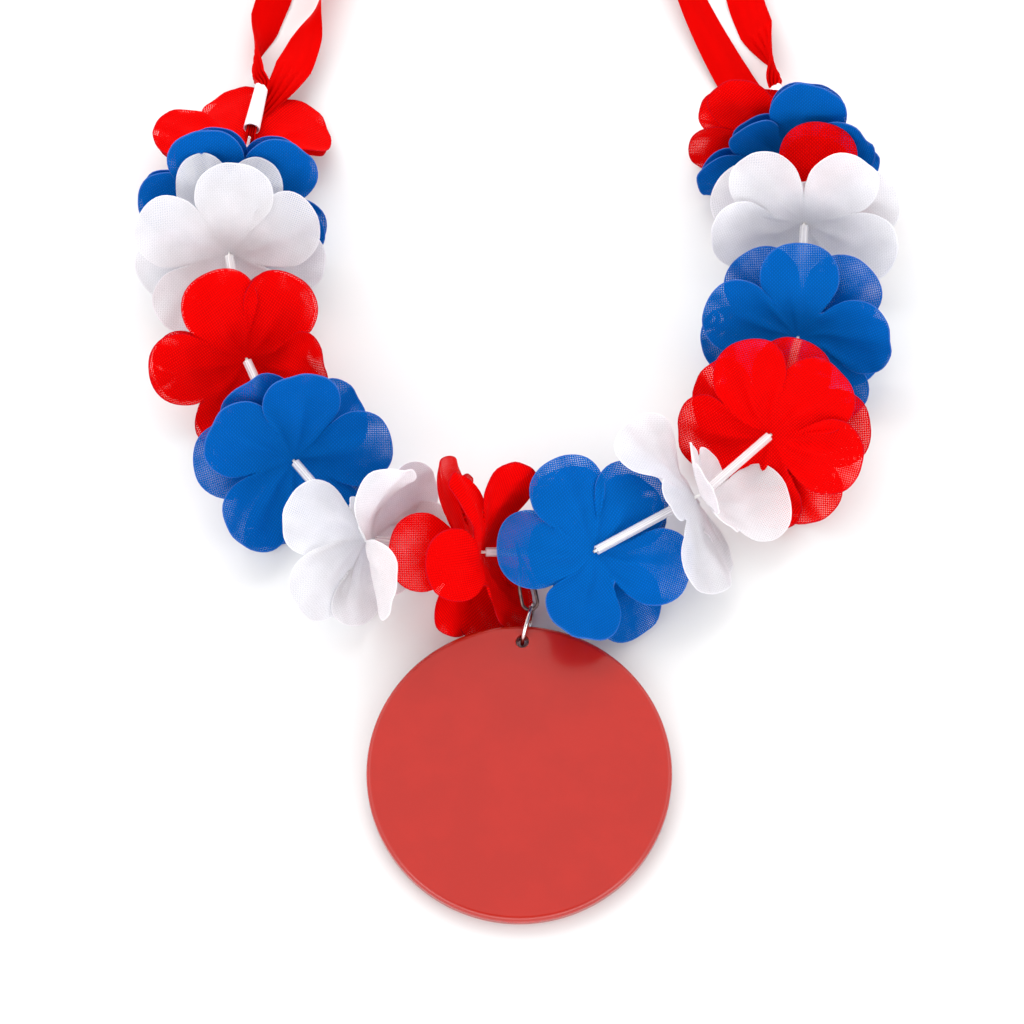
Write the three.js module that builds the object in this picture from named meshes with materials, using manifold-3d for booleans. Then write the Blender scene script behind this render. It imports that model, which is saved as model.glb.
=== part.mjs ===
// A fabric flower lei necklace, laid flat: a garland of fabric flowers and tube spacers threaded
// on a cord, a satin ribbon as neck band, and a round medallion that swings on a jump ring.
// Millimetres, +Z up. The garland is laid out about the medallion's centre, with +Y towards the
// neck band, and the finished group stands centred on the surface that it lies on.
import * as THREE from 'three';
import { mergeVertices } from 'three/addons/utils/BufferGeometryUtils.js';
import Module from 'manifold-3d';

const wasm = await Module();
wasm.setup();

const { cos, sin, min, max, sqrt, hypot, PI } = Math;
const V = (x, y, z) => new THREE.Vector3(x, y, z);
const degrees = THREE.MathUtils.degToRad;

// ---- Driving dimensions -------------------------------------------------------------------

const PETAL_LENGTH = 25.5; // hub centre to petal tip
const PETAL_HALF_WIDTH = 9.6;
const PETALS = 5;
const HUB_RADIUS = 7.0; // the slits between the petals stop here
const EYE_RADIUS = 1.3; // the punched hole for the cord
const FABRIC = 0.6; // thickness of a layer
const LAYER_OFFSET = 0.75; // each layer of a flower from the flower's centre
const FLOOR_CLEARANCE = 0.45; // lowest place of a back layer's middle surface
const FLOOR_STEP = 0.8; // how much higher a front layer lies along the surface
const FLOOR_BEND = 5.0; // height over which a petal turns to lie along the surface

const SPACER_RADIUS = 1.2;
const SPACER_BORE = 0.8;
const SPACER_GAP = 0.5; // each end of a spacer from the cord's turn at the flower
const SLEEVE_RADIUS = 2.1;
const SLEEVE_BORE = 1.75;
const CORD_RADIUS = 0.4;

const MEDALLION_RADIUS = 38.0;
const MEDALLION_THICKNESS = 5.0;
const MEDALLION_EDGE = 1.4;
const MEDALLION_TILT = degrees(3); // its ring edge is held up by the ring
const HOLE_RADIUS = 1.65;
const HOLE_INSET = 4.3; // rim to hole centre

const RING_RADIUS = 5.5; // to the middle of the wire
const RING_WIRE = 0.5;
const RING_YAW = degrees(-15);
const LINK_WIRE = 0.45;
const LINK_HALF_WIDTH = 1.95;

const RIBBON_WIDTH = 10;
const RIBBON_THICKNESS = 0.6;

// ---- Colours ------------------------------------------------------------------------------

const colours = {
  red: 0xee0302,
  blue: 0x0b6fc0,
  white: 0xeeebf2,
  tube: 0xf4ecf0,
  cord: 0xe8e4e0,
  ribbon: 0xf00604,
  medallion: 0xc8201a,
  steel: 0xb8b8ba,
  darkSteel: 0x4a4542,
};

const finishes = {
  fabric: { roughness: 0.85, metalness: 0 },
  satin: { roughness: 0.35, metalness: 0 },
  plastic: { roughness: 0.25, metalness: 0 },
  metal: { roughness: 0.3, metalness: 1 },
};

const lei = new THREE.Group();

function add(name, geometry, colour, finish) {
  const material = new THREE.MeshStandardMaterial({ color: colours[colour], ...finishes[finish] });
  const mesh = new THREE.Mesh(geometry, material);
  mesh.name = name;
  lei.add(mesh);
  return mesh;
}

// ---- Closed meshes ------------------------------------------------------------------------

function signedVolume(points, faces) {
  const cross = V(0, 0, 0);
  let total = 0;
  for (const [a, b, c] of faces) {
    total += cross.crossVectors(points[b], points[c]).dot(points[a]);
  }
  return total / 6;
}

function closedGeometry(points, faces) {
  const outward = signedVolume(points, faces) > 0;
  const geometry = new THREE.BufferGeometry();
  const index = faces.flatMap(([a, b, c]) => (outward ? [a, b, c] : [a, c, b]));
  geometry.setFromPoints(points);
  geometry.setIndex(index);
  geometry.computeVertexNormals();
  return geometry;
}

// Joins rings of equally many points by bands of triangles; returns the faces alone.
function bands(rings, sides, closed) {
  const faces = [];
  const count = closed ? rings : rings - 1;
  for (let i = 0; i < count; i += 1) {
    const here = i * sides;
    const there = ((i + 1) % rings) * sides;
    for (let j = 0; j < sides; j += 1) {
      const k = (j + 1) % sides;
      faces.push([here + j, there + j, there + k], [here + j, there + k, here + k]);
    }
  }
  return faces;
}

function fan(start, sides, flipped) {
  const faces = [];
  for (let j = 1; j < sides - 1; j += 1) {
    faces.push(flipped ? [start, start + j + 1, start + j] : [start, start + j, start + j + 1]);
  }
  return faces;
}

function tubeAlong(path, radius, sides, closed) {
  const count = path.length;
  const points = [];
  let across = null;
  for (let i = 0; i < count; i += 1) {
    const before = path[closed ? (i + count - 1) % count : max(i - 1, 0)];
    const after = path[closed ? (i + 1) % count : min(i + 1, count - 1)];
    const tangent = after.clone().sub(before).normalize();
    across ??= Math.abs(tangent.z) < 0.9 ? V(0, 0, 1) : V(0, 1, 0);
    across = across.clone().addScaledVector(tangent, -across.dot(tangent)).normalize();
    const other = V(0, 0, 0).crossVectors(tangent, across);
    for (let j = 0; j < sides; j += 1) {
      const turn = (2 * PI * j) / sides;
      const corner = path[i].clone();
      points.push(corner.addScaledVector(across, radius * cos(turn))
        .addScaledVector(other, radius * sin(turn)));
    }
  }
  const faces = bands(count, sides, closed);
  if (!closed) faces.push(...fan(0, sides, false), ...fan((count - 1) * sides, sides, true));
  return closedGeometry(points, faces);
}

// ---- How a flower is laid out -------------------------------------------------------------

// A flower laid on the surface shows its face to someone standing at the medallion's end and
// looking steeply down. Its lean is measured from that direction, and its petals are counted
// anticlockwise from the wearer's left, both as that person sees them.
const SHOWN_FROM = degrees(68);
const toShow = V(0, -cos(SHOWN_FROM), sin(SHOWN_FROM));
const showRight = V(1, 0, 0);
const showUp = V(0, sin(SHOWN_FROM), cos(SHOWN_FROM));

function inView(angle) {
  return showRight.clone().multiplyScalar(cos(angle)).addScaledVector(showUp, sin(angle));
}

// Each flower: its colour, its centre, how far it leans and towards what angle, which way along
// the cord it faces, and its front and back layers. A layer has the angle of its first petal,
// the slope of its hub and the curl of its petals, and for single petals a swing to one side and
// a further bend. A petal crushed by its neighbours has a shorter reach, one that has rolled over
// has a twist, and one that is drawn together has a gather below 1.
// Where two flowers lie on the same stretch of the surface, one lies above the other.
const DOWN = 1;
const UP = -1;
const flowers = [
  { colour: 'red', at: [-71.5, 169.6, 11], lean: 47, toward: 90, faces: UP,
    layers: [
      { turn: 28, hub: 10, curl: 0, swing: [12, 0, -5, 0, 0], bend: [-28, -16, 0, 20, 20],
        reach: [1, 1, 1, 0.3, 0.3], twist: [22, -12, 0, 0, 0] },
      { turn: 28, hub: 10, curl: 0, swing: [12, 0, -5, 0, 0], bend: [-28, -16, 0, 20, 20],
        reach: [0.93, 0.93, 0.93, 0.3, 0.3], twist: [22, -12, 0, 0, 0] }] },
  { colour: 'blue', at: [-74, 153, 16], lean: 42, toward: 270, faces: DOWN,
    layers: [
      { turn: 42, hub: 8, curl: 6, swing: [0, 0, -15, 0, 0], bend: [-20, -16, -16, 0, 0] },
      { turn: 42, hub: 4, curl: 4, swing: [4, -6, -10, 0, 0], bend: [-18, -14, -14, 0, 0],
        reach: [0.9, 0.9, 0.95, 1, 1] }] },
  { colour: 'white', at: [-75, 137.7, 17], lean: 28, toward: 270, faces: DOWN,
    layers: [
      { turn: 15, hub: 8, curl: 8, swing: [15, -5, -5, 0, 0], bend: [-35, -25, -20, 0, 0] },
      { turn: 55, hub: -2, curl: -2, swing: [18, -24, 0, 0, 0], bend: [-12, -12, 0, 0, -10],
        reach: [1.05, 1.1, 1, 1, 1], gather: [0.6, 0.6, 1, 1, 1] }] },
  { colour: 'red', at: [-70, 108.6, 15], lean: 26, toward: 290, faces: DOWN,
    layers: [
      { turn: 52, hub: 6, curl: 6, swing: [10, -14, -14, -14, 30], bend: [-30, -34, -14, -14, 45] },
      { turn: 52, hub: 2, curl: 2, swing: [10, -14, -14, -14, 30], bend: [-22, -26, -6, -6, 40],
        reach: [0.93, 0.93, 0.93, 0.93, 0.3] }] },
  { colour: 'blue', at: [-57.4, 80.2, 15], lean: 26, toward: 315, faces: DOWN,
    layers: [
      { turn: 11, hub: 6, curl: 6, swing: [0, 8, 0, 8, 0], bend: [-5, 8, -5, 12, -55] },
      { turn: 47, hub: -4, curl: -4, swing: [-14, 8, -14, 12, -30],
        bend: [-24, 18, -10, -26, -34] }] },
  { colour: 'white', at: [-38.0, 57.9, 16], lean: 62, toward: 0, faces: DOWN,
    layers: [
      { turn: 0, hub: 20, curl: 15, bend: [0, 0, 10, 0, 0], twist: [0, -30, 0, 0, 30] },
      { turn: 0, hub: -20, curl: -20, bend: [40, 30, -10, -15, 0], reach: [1, 0.7, 1, 1, 1],
        twist: [0, -30, 0, 0, 30] }] },
  { colour: 'red', at: [-10.3, 54.7, 16], lean: 70, toward: 0, faces: DOWN,
    layers: [
      { turn: 0, hub: 15, curl: 10, swing: [0, 20, -24, -38, 32], bend: [0, 15, -50, -80, -12],
        reach: [1, 1, 1, 0.95, 0.9], twist: [0, -20, 0, 0, 0], gather: [1, 1, 0.3, 1, 1] },
      { turn: 36, hub: -22, curl: -15, swing: [40, -18, 0, 18, -34], bend: [37, 27, -18, 33, 72],
        reach: [0.85, 1, 1, 0.85, 1], twist: [10, 0, 0, 20, 30] }] },
  { colour: 'blue', at: [18.8, 55.2, 15], lean: 18, toward: 27, faces: DOWN,
    layers: [
      { turn: 48, hub: 2, curl: 0, swing: [10, -8, -20, -16, 14], bend: [0, 0, -15, 28, 30] },
      { turn: 36, hub: -5, curl: -6, swing: [14, 0, 0, 0, -28], bend: [10, -13, 0, 0, 0],
        reach: [0.92, 0.92, 0.55, 0.5, 1] }] },
  { colour: 'white', at: [45.1, 69.9, 16], lean: 72, toward: 27, faces: DOWN,
    layers: [
      { turn: 202, hub: 20, curl: 12, swing: [0, 0, 0, 0, -10], bend: [20, 0, 40, 0, -20],
        reach: [0.5, 0.4, 1, 0.4, 0.4], twist: [0, 0, 42, 0, 30] },
      { turn: 194, hub: -15, curl: -10, swing: [0, 24, -15, 0, -5], bend: [0, 15, 20, 0, 10],
        reach: [0.35, 1, 0.9, 0.4, 1], twist: [0, 25, 0, 0, -50] }] },
  { colour: 'red', at: [64.2, 86.8, 16], lean: 24, toward: 212, faces: UP,
    layers: [
      { turn: 45, hub: 6, curl: 4, swing: [-8, -16, -14, 0, 16], bend: [-16, -15, -20, -40, -8] },
      { turn: 9, hub: -4, curl: -4, swing: [-4, -14, -8, 0, 0], bend: [0, -5, -12, -45, 0],
        reach: [1, 1, 1, 0.8, 1] }] },
  { colour: 'blue', at: [71.8, 114.6, 15], lean: 24, toward: 255, faces: UP,
    layers: [
      { turn: 17, hub: 8, curl: 4, swing: [-16, 0, -4, 0, -6], bend: [12, -30, -14, 0, -15] },
      { turn: 53, hub: -4, curl: 0, swing: [-12, 0, -12, 0, 0], bend: [-8, -11, 0, -20, -25] }] },
  { colour: 'white', at: [74.2, 146.9, 16], lean: 34, toward: 265, faces: UP,
    layers: [
      { turn: 56, hub: 12, curl: 10, swing: [-3, 3, -25, 0, 0], bend: [-20, -30, -5, 0, -5],
        gather: [0.85, 0.85, 1, 1, 1] },
      { turn: 20, hub: 2, curl: 4, swing: [0, 0, -10, 0, 0], bend: [-4, -20, -10, 0, 0],
        reach: [1, 0.3, 1, 1, 1] }] },
  { colour: 'red', at: [74.6, 150.7, 13.5], lean: 34, toward: 265, faces: UP,
    layers: [
      { turn: 7, hub: -2, curl: 0, bend: [0, -20, 0, 0, 0], reach: [0.6, 1, 0.5, 0.7, 0.7] },
      { turn: 13, hub: -8, curl: -6, swing: [0, -14, 0, 0, 0], bend: [0, -18, 0, 0, 0],
        reach: [0.6, 0.75, 0.5, 0.7, 0.7] }] },
  { colour: 'blue', at: [70.9, 167.4, 14], lean: 50, toward: 262, faces: UP, above: 1.6,
    layers: [
      { turn: 70, hub: 6, curl: 6, swing: [4, -10, -14, 0, 40], bend: [-25, 4, 0, 0, 2],
        reach: [1, 0.6, 1, 1, 1], twist: [0, 0, -15, 0, 0] },
      { turn: 70, hub: 1, curl: 2, swing: [4, -10, -14, 0, -28], bend: [-16, 8, 4, 0, -16],
        reach: [0.93, 0.55, 0.93, 1, 1], twist: [0, 0, -15, 0, 0] }] },
  { colour: 'red', at: [69, 171, 12], lean: 54, toward: 250, faces: UP,
    layers: [
      { turn: 49, hub: -4, curl: -2, swing: [0, 9, 5, 0, 0], bend: [0, 0, 16, 0, 0],
        reach: [0.25, 0.95, 1, 0.4, 0.4] },
      { turn: 18, hub: -10, curl: -8, swing: [0, 22, 0, 0, 0], bend: [0, 4, 10, 0, 0],
        reach: [0.3, 0.6, 0.92, 0.8, 0.4] }] },
];

for (const flower of flowers) {
  const lean = degrees(flower.lean);
  const toward = degrees(flower.toward);
  flower.centre = V(...flower.at);
  flower.normal = toShow.clone().multiplyScalar(cos(lean))
    .addScaledVector(inView(toward), sin(lean));
  const swing = new THREE.Quaternion().setFromUnitVectors(toShow, flower.normal);
  flower.across = showRight.clone().applyQuaternion(swing);
  flower.along = showUp.clone().applyQuaternion(swing);
}

// ---- Fabric layers ------------------------------------------------------------------------

// Half a petal's outline beyond the hub, from its slit to its tip: distance along and across.
const outline = [
  [0.62 * PETAL_LENGTH, 0.93 * PETAL_HALF_WIDTH],
  [0.90 * PETAL_LENGTH, 0.66 * PETAL_HALF_WIDTH],
  [PETAL_LENGTH, 0],
];
const slitEnd = [HUB_RADIUS * cos(PI / PETALS), HUB_RADIUS * sin(PI / PETALS)];
const petalColumns = [
  [slitEnd[0], -slitEnd[1]],
  ...outline.slice(0, 2).map(([u, v]) => [u, -v]),
  outline[2],
  ...outline.slice(0, 2).reverse(),
];
const SLIT_OPENING = 1.8; // a slit's end is this much further out than the hub
const SWEEP_STEP = 0.75; // length of the straight pieces that a petal bends by
const MIDDLE = 0.5; // where the row between hub and rim lies

// Walks out along a petal from its hub, bending as it goes and turning to lie along the surface.
function walkPetal(flower, layer, petalIndex, start, from, to) {
  const swing = layer.swing?.[petalIndex] ?? 0;
  const angle = degrees(layer.turn + swing) + (2 * PI * petalIndex) / PETALS;
  const out = flower.across.clone().multiplyScalar(cos(angle))
    .addScaledVector(flower.along, sin(angle));
  const side = flower.across.clone().multiplyScalar(-sin(angle))
    .addScaledVector(flower.along, cos(angle));
  const hub = degrees(layer.hub);
  const curl = degrees(layer.curl + layer.bend[petalIndex]);
  const steps = max(1, Math.ceil((to[0] - from[0]) / SWEEP_STEP));
  const step = (to[0] - from[0]) / steps;
  const place = start.clone();
  const direction = V(0, 0, 0);
  for (let i = 0; i < steps; i += 1) {
    const u = from[0] + (i + 0.5) * step;
    const progress = max(0, u - slitEnd[0]) / (PETAL_LENGTH - slitEnd[0]);
    const slope = hub + curl * min(1, 1.6 * progress);
    direction.copy(out).multiplyScalar(cos(slope)).addScaledVector(flower.normal, sin(slope));
    const steepest = -max(0, place.z - layer.floor) / FLOOR_BEND;
    if (direction.z < steepest) {
      const level = hypot(direction.x, direction.y);
      const stretch = sqrt(1 - steepest * steepest) / max(level, 0.05);
      direction.set(direction.x * stretch, direction.y * stretch, steepest);
    }
    place.addScaledVector(direction, step);
  }
  const outmost = max(0, to[0] - slitEnd[0]) / (PETAL_LENGTH - slitEnd[0]);
  const twist = degrees(layer.twist?.[petalIndex] ?? 0) * min(1, outmost);
  const upright = V(0, 0, 0).crossVectors(direction, side).normalize();
  const gathered = (layer.gather?.[petalIndex] ?? 1) - 1;
  const width = 1 + gathered * THREE.MathUtils.smoothstep(outmost, 0, 0.4);
  place.addScaledVector(side, (to[1] - from[1]) * width * cos(twist))
    .addScaledVector(upright, to[1] * width * sin(twist));
  place.z = max(place.z, layer.floor);
  return place;
}

function layerSurface(flower, layer, offset) {
  const rows = [[], [], [], []];
  const hub = degrees(layer.hub);
  const middle = flower.centre.clone().addScaledVector(flower.normal, offset);
  for (let petal = 0; petal < PETALS; petal += 1) {
    petalColumns.forEach(([u, v], column) => {
      const local = Math.atan2(v, u);
      const angle = degrees(layer.turn) + (2 * PI * petal) / PETALS + local;
      const radial = flower.across.clone().multiplyScalar(cos(angle) * cos(hub))
        .addScaledVector(flower.along, sin(angle) * cos(hub))
        .addScaledVector(flower.normal, sin(hub));
      const hubPoint = middle.clone().addScaledVector(radial, HUB_RADIUS);
      const from = [HUB_RADIUS * cos(local), HUB_RADIUS * sin(local)];
      const opening = column === 0 ? SLIT_OPENING : 0;
      const reach = column === 0 ? 1 : (layer.reach?.[petal] ?? 1);
      const crushed = slitEnd[0] + (u - slitEnd[0]) * reach;
      const to = column === 0 ? [u + opening, v * (1 + opening / u)] : [crushed, v * sqrt(reach)];
      const half = from.map((value, axis) => value + (to[axis] - value) * MIDDLE);
      rows[0].push(middle.clone().addScaledVector(radial, EYE_RADIUS));
      rows[1].push(hubPoint);
      const between = walkPetal(flower, layer, petal, hubPoint, from, half);
      rows[2].push(between);
      rows[3].push(walkPetal(flower, layer, petal, hubPoint, from, to));
    });
  }
  return rows;
}

// Gives a ring-shaped grid of points a thickness and closes it at both rims.
function thicken(rows, thickness) {
  const columns = rows[0].length;
  const flat = rows.flat();
  const middleFaces = bands(rows.length, columns, false);
  const normals = flat.map(() => V(0, 0, 0));
  for (const [a, b, c] of middleFaces) {
    const edge = flat[b].clone().sub(flat[a]);
    const normal = edge.cross(flat[c].clone().sub(flat[a]));
    for (const corner of [a, b, c]) normals[corner].add(normal);
  }
  normals.forEach((normal) => normal.normalize());
  const half = thickness / 2;
  const front = flat.map((point, i) => point.clone().addScaledVector(normals[i], half));
  const back = flat.map((point, i) => point.clone().addScaledVector(normals[i], -half));
  const count = flat.length;
  const faces = [...middleFaces];
  for (const [a, b, c] of middleFaces) faces.push([a + count, c + count, b + count]);
  for (const [row, flipped] of [[0, false], [rows.length - 1, true]]) {
    for (let j = 0; j < columns; j += 1) {
      const a = row * columns + j;
      const b = row * columns + ((j + 1) % columns);
      const wall = [[a, b, b + count], [a, b + count, a + count]];
      faces.push(...wall.map(([x, y, z]) => (flipped ? [x, z, y] : [x, y, z])));
    }
  }
  return closedGeometry([...front, ...back], faces);
}

const sideNames = ['front', 'back'];
flowers.forEach((flower, i) => {
  const number = String(i + 1).padStart(2, '0');
  flower.layers.forEach((layer, side) => {
    const offset = side === 0 ? LAYER_OFFSET : -LAYER_OFFSET;
    layer.floor = FLOOR_CLEARANCE + (side === 0 ? FLOOR_STEP : 0) + (flower.above ?? 0);
    const geometry = thicken(layerSurface(flower, layer, offset), FABRIC);
    add(`flower_${number}_${flower.colour}_${sideNames[side]}`, geometry, flower.colour, 'fabric');
  });
});

// ---- Spacers, sleeves and cord ------------------------------------------------------------

const CORD_RISE = 2.6; // the cord runs straight this far each side of a flower's centre
const CLOSE_RISE = 0.4; // and no more than this share of the way to the next flower
const FOLD_REACH = 1.9; // how far the ribbon's fold stands past a sleeve's foot
const KNOT = 0.9; // from the fold's middle line to the cord tied to it
const leftSleeve = { mouth: V(-68.3, 189.2, 10.5), foot: V(-70.4, 175.2, 14) };
const rightSleeve = { mouth: V(68.4, 191.0, 7), foot: V(69.6, 179.0, 9.5) };
for (const sleeve of [leftSleeve, rightSleeve]) {
  sleeve.inward = sleeve.foot.clone().sub(sleeve.mouth).normalize();
  sleeve.knot = sleeve.foot.clone().addScaledVector(sleeve.inward, FOLD_REACH + KNOT);
}

function hollowTube(from, to, radius, bore, sides) {
  const length = from.distanceTo(to);
  const profile = [[bore, 0], [radius, 0], [radius, length], [bore, length], [bore, 0]];
  const geometry = new THREE.LatheGeometry(profile.map(([r, h]) => new THREE.Vector2(r, h)), sides);
  const turn = new THREE.Quaternion().setFromUnitVectors(V(0, 1, 0), to.clone().sub(from).normalize());
  geometry.applyQuaternion(turn);
  geometry.translate(from.x, from.y, from.z);
  return geometry;
}

const cordPath = [leftSleeve.knot];
flowers.forEach((flower, i) => {
  const rise = (neighbour) => {
    const apart = neighbour ? flower.centre.distanceTo(neighbour.centre) : Infinity;
    return flower.faces * min(CORD_RISE, CLOSE_RISE * apart);
  };
  flower.arrives = flower.centre.clone().addScaledVector(flower.normal, -rise(flowers[i - 1]));
  flower.leaves = flower.centre.clone().addScaledVector(flower.normal, rise(flowers[i + 1]));
  cordPath.push(flower.arrives, flower.leaves);
});
cordPath.push(rightSleeve.knot);

const SHORTEST_SPACER = 4;
const SPACER_SIDES = 8;
for (let i = 0; i < flowers.length - 1; i += 1) {
  const from = flowers[i].leaves;
  const to = flowers[i + 1].arrives;
  const length = from.distanceTo(to);
  if (length < SHORTEST_SPACER + 2 * SPACER_GAP) continue;
  const start = from.clone().lerp(to, SPACER_GAP / length);
  const end = to.clone().lerp(from, SPACER_GAP / length);
  const name = `spacer_${String(i + 1).padStart(2, '0')}`;
  add(name, hollowTube(start, end, SPACER_RADIUS, SPACER_BORE, SPACER_SIDES), 'tube', 'plastic');
}

const SLEEVE_SIDES = 10;
for (const [name, sleeve] of [['sleeve_left', leftSleeve], ['sleeve_right', rightSleeve]]) {
  const geometry = hollowTube(sleeve.mouth, sleeve.foot, SLEEVE_RADIUS, SLEEVE_BORE, SLEEVE_SIDES);
  add(name, geometry, 'tube', 'plastic');
}

add('cord', tubeAlong(cordPath, CORD_RADIUS, 6, false), 'cord', 'satin');

// ---- Medallion, jump ring and link --------------------------------------------------------

const lift = MEDALLION_THICKNESS / 2 * cos(MEDALLION_TILT) + MEDALLION_RADIUS * sin(MEDALLION_TILT);
const medallionCentre = V(0, 0, lift);
const holeReach = MEDALLION_RADIUS - HOLE_INSET;
const HOLE_SHIFT = 0.8; // the hole sits a little to one side of the middle
const hole = V(HOLE_SHIFT, holeReach * cos(MEDALLION_TILT), lift + holeReach * sin(MEDALLION_TILT));

function asManifold(geometry) {
  const bare = geometry.clone();
  bare.deleteAttribute('normal');
  bare.deleteAttribute('uv');
  const merged = mergeVertices(bare, 1e-4);
  return new wasm.Manifold(new wasm.Mesh({
    numProp: 3,
    vertProperties: new Float32Array(merged.attributes.position.array),
    triVerts: new Uint32Array(merged.index.array),
  }));
}

function asGeometry(solid) {
  const mesh = solid.getMesh();
  const geometry = new THREE.BufferGeometry();
  geometry.setAttribute('position', new THREE.BufferAttribute(new Float32Array(mesh.vertProperties), 3));
  geometry.setIndex(new THREE.BufferAttribute(new Uint32Array(mesh.triVerts), 1));
  geometry.computeVertexNormals();
  return geometry;
}

function medallionGeometry() {
  const half = MEDALLION_THICKNESS / 2;
  const EDGE_STEPS = 3;
  const profile = [new THREE.Vector2(0, -half)];
  for (const side of [-1, 1]) {
    for (let i = 0; i <= EDGE_STEPS; i += 1) {
      const turn = (PI / 2) * (side < 0 ? i : EDGE_STEPS - i) / EDGE_STEPS;
      const radius = MEDALLION_RADIUS - MEDALLION_EDGE * (1 - sin(turn));
      profile.push(new THREE.Vector2(radius, side * (half - MEDALLION_EDGE * (1 - cos(turn)))));
    }
  }
  profile.push(new THREE.Vector2(0, half));
  const disc = new THREE.LatheGeometry(profile, 64);
  disc.rotateX(PI / 2);
  const drill = new THREE.CylinderGeometry(HOLE_RADIUS, HOLE_RADIUS, 2 * MEDALLION_THICKNESS, 20);
  drill.rotateX(PI / 2);
  drill.translate(HOLE_SHIFT, holeReach, 0);
  return asGeometry(asManifold(disc).subtract(asManifold(drill)));
}

const medallion = add('medallion', medallionGeometry(), 'medallion', 'plastic');
medallion.position.copy(medallionCentre);
medallion.rotation.x = MEDALLION_TILT;

// The ring stands upright through the hole, and the medallion's edge lies inside it.
const ringOut = V(-sin(RING_YAW), cos(RING_YAW), 0);
const ringCentre = hole.clone().addScaledVector(ringOut, RING_RADIUS);
const RING_STEPS = 24;
const ringPath = [];
for (let i = 0; i < RING_STEPS; i += 1) {
  const turn = (2 * PI * i) / RING_STEPS;
  ringPath.push(ringCentre.clone().addScaledVector(ringOut, RING_RADIUS * cos(turn))
    .addScaledVector(V(0, 0, 1), RING_RADIUS * sin(turn)));
}
add('jump_ring', tubeAlong(ringPath, RING_WIRE, 8, true), 'steel', 'metal');

// The link hangs the ring from the spacer above it, and turns a quarter between the two.
const carrier = flowers[6].leaves.clone().lerp(flowers[7].arrives, 0.3);
const linkFoot = ringCentre.clone().addScaledVector(ringOut, 3.4).add(V(0, 0, 1.8));
const linkAxis = carrier.clone().sub(linkFoot).normalize();
const linkHead = carrier.clone().addScaledVector(linkAxis, LINK_HALF_WIDTH);
const linkSide = V(1, 0, 0).addScaledVector(linkAxis, -linkAxis.x).normalize();
const linkDepth = V(0, 0, 0).crossVectors(linkAxis, linkSide);
const linkLength = linkHead.distanceTo(linkFoot);
const linkPath = [];
const LINK_BEND_STEPS = 6;
const LINK_RUN_STEPS = 5;
function linkPoint(distance, offset) {
  const twist = (PI / 2) * THREE.MathUtils.smoothstep(distance, 2, linkLength - 2.5);
  return linkFoot.clone().addScaledVector(linkAxis, distance)
    .addScaledVector(linkSide, offset * cos(twist))
    .addScaledVector(linkDepth, offset * sin(twist));
}
for (let i = 0; i <= LINK_BEND_STEPS; i += 1) {
  const turn = (PI * i) / LINK_BEND_STEPS;
  linkPath.push(linkPoint(LINK_HALF_WIDTH * (1 - sin(turn)), LINK_HALF_WIDTH * cos(turn)));
}
const run = linkLength - 2 * LINK_HALF_WIDTH;
for (let i = 1; i < LINK_RUN_STEPS; i += 1) {
  linkPath.push(linkPoint(LINK_HALF_WIDTH + (run * i) / LINK_RUN_STEPS, -LINK_HALF_WIDTH));
}
for (let i = 0; i <= LINK_BEND_STEPS; i += 1) {
  const turn = (PI * i) / LINK_BEND_STEPS;
  linkPath.push(linkPoint(linkLength - LINK_HALF_WIDTH * (1 - sin(turn)), -LINK_HALF_WIDTH * cos(turn)));
}
for (let i = LINK_RUN_STEPS - 1; i > 0; i -= 1) {
  linkPath.push(linkPoint(LINK_HALF_WIDTH + (run * i) / LINK_RUN_STEPS, LINK_HALF_WIDTH));
}
add('hanging_link', tubeAlong(linkPath, LINK_WIRE, 6, true), 'darkSteel', 'metal');

// ---- Ribbon -------------------------------------------------------------------------------

// One closed loop of satin ribbon. Each station of its middle line has its place, its turn (0 lies
// flat, 90 stands on edge) and its width. It is gathered to pass through each sleeve, folds back
// under it at the foot and returns inside its own outer run, all round the neck.
const GATHERED = 2.5;
const FOLD_DROP = 2.9; // from a sleeve's middle line to the ribbon beneath it

// From a sleeve's mouth through it, round the fold at its foot and back out beneath it.
function sleeveStations(sleeve) {
  const beneath = V(0, 0, -1).addScaledVector(sleeve.inward, sleeve.inward.z).normalize();
  const side = V(0, 0, 1).cross(sleeve.inward).normalize();
  const station = (from, along, drop, width) => ({
    at: from.clone().addScaledVector(sleeve.inward, along).addScaledVector(beneath, drop),
    side, width,
  });
  return [
    station(sleeve.mouth, -1.5, 0, GATHERED + 1),
    station(sleeve.mouth, 1.5, 0, GATHERED),
    station(sleeve.foot, -1, 0, GATHERED),
    station(sleeve.foot, 0.75 * FOLD_REACH, 0.12 * FOLD_DROP, GATHERED),
    station(sleeve.foot, FOLD_REACH, 0.5 * FOLD_DROP, GATHERED),
    station(sleeve.foot, 0.75 * FOLD_REACH, 0.88 * FOLD_DROP, GATHERED),
    station(sleeve.foot, -1, FOLD_DROP, GATHERED),
  ];
}

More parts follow.
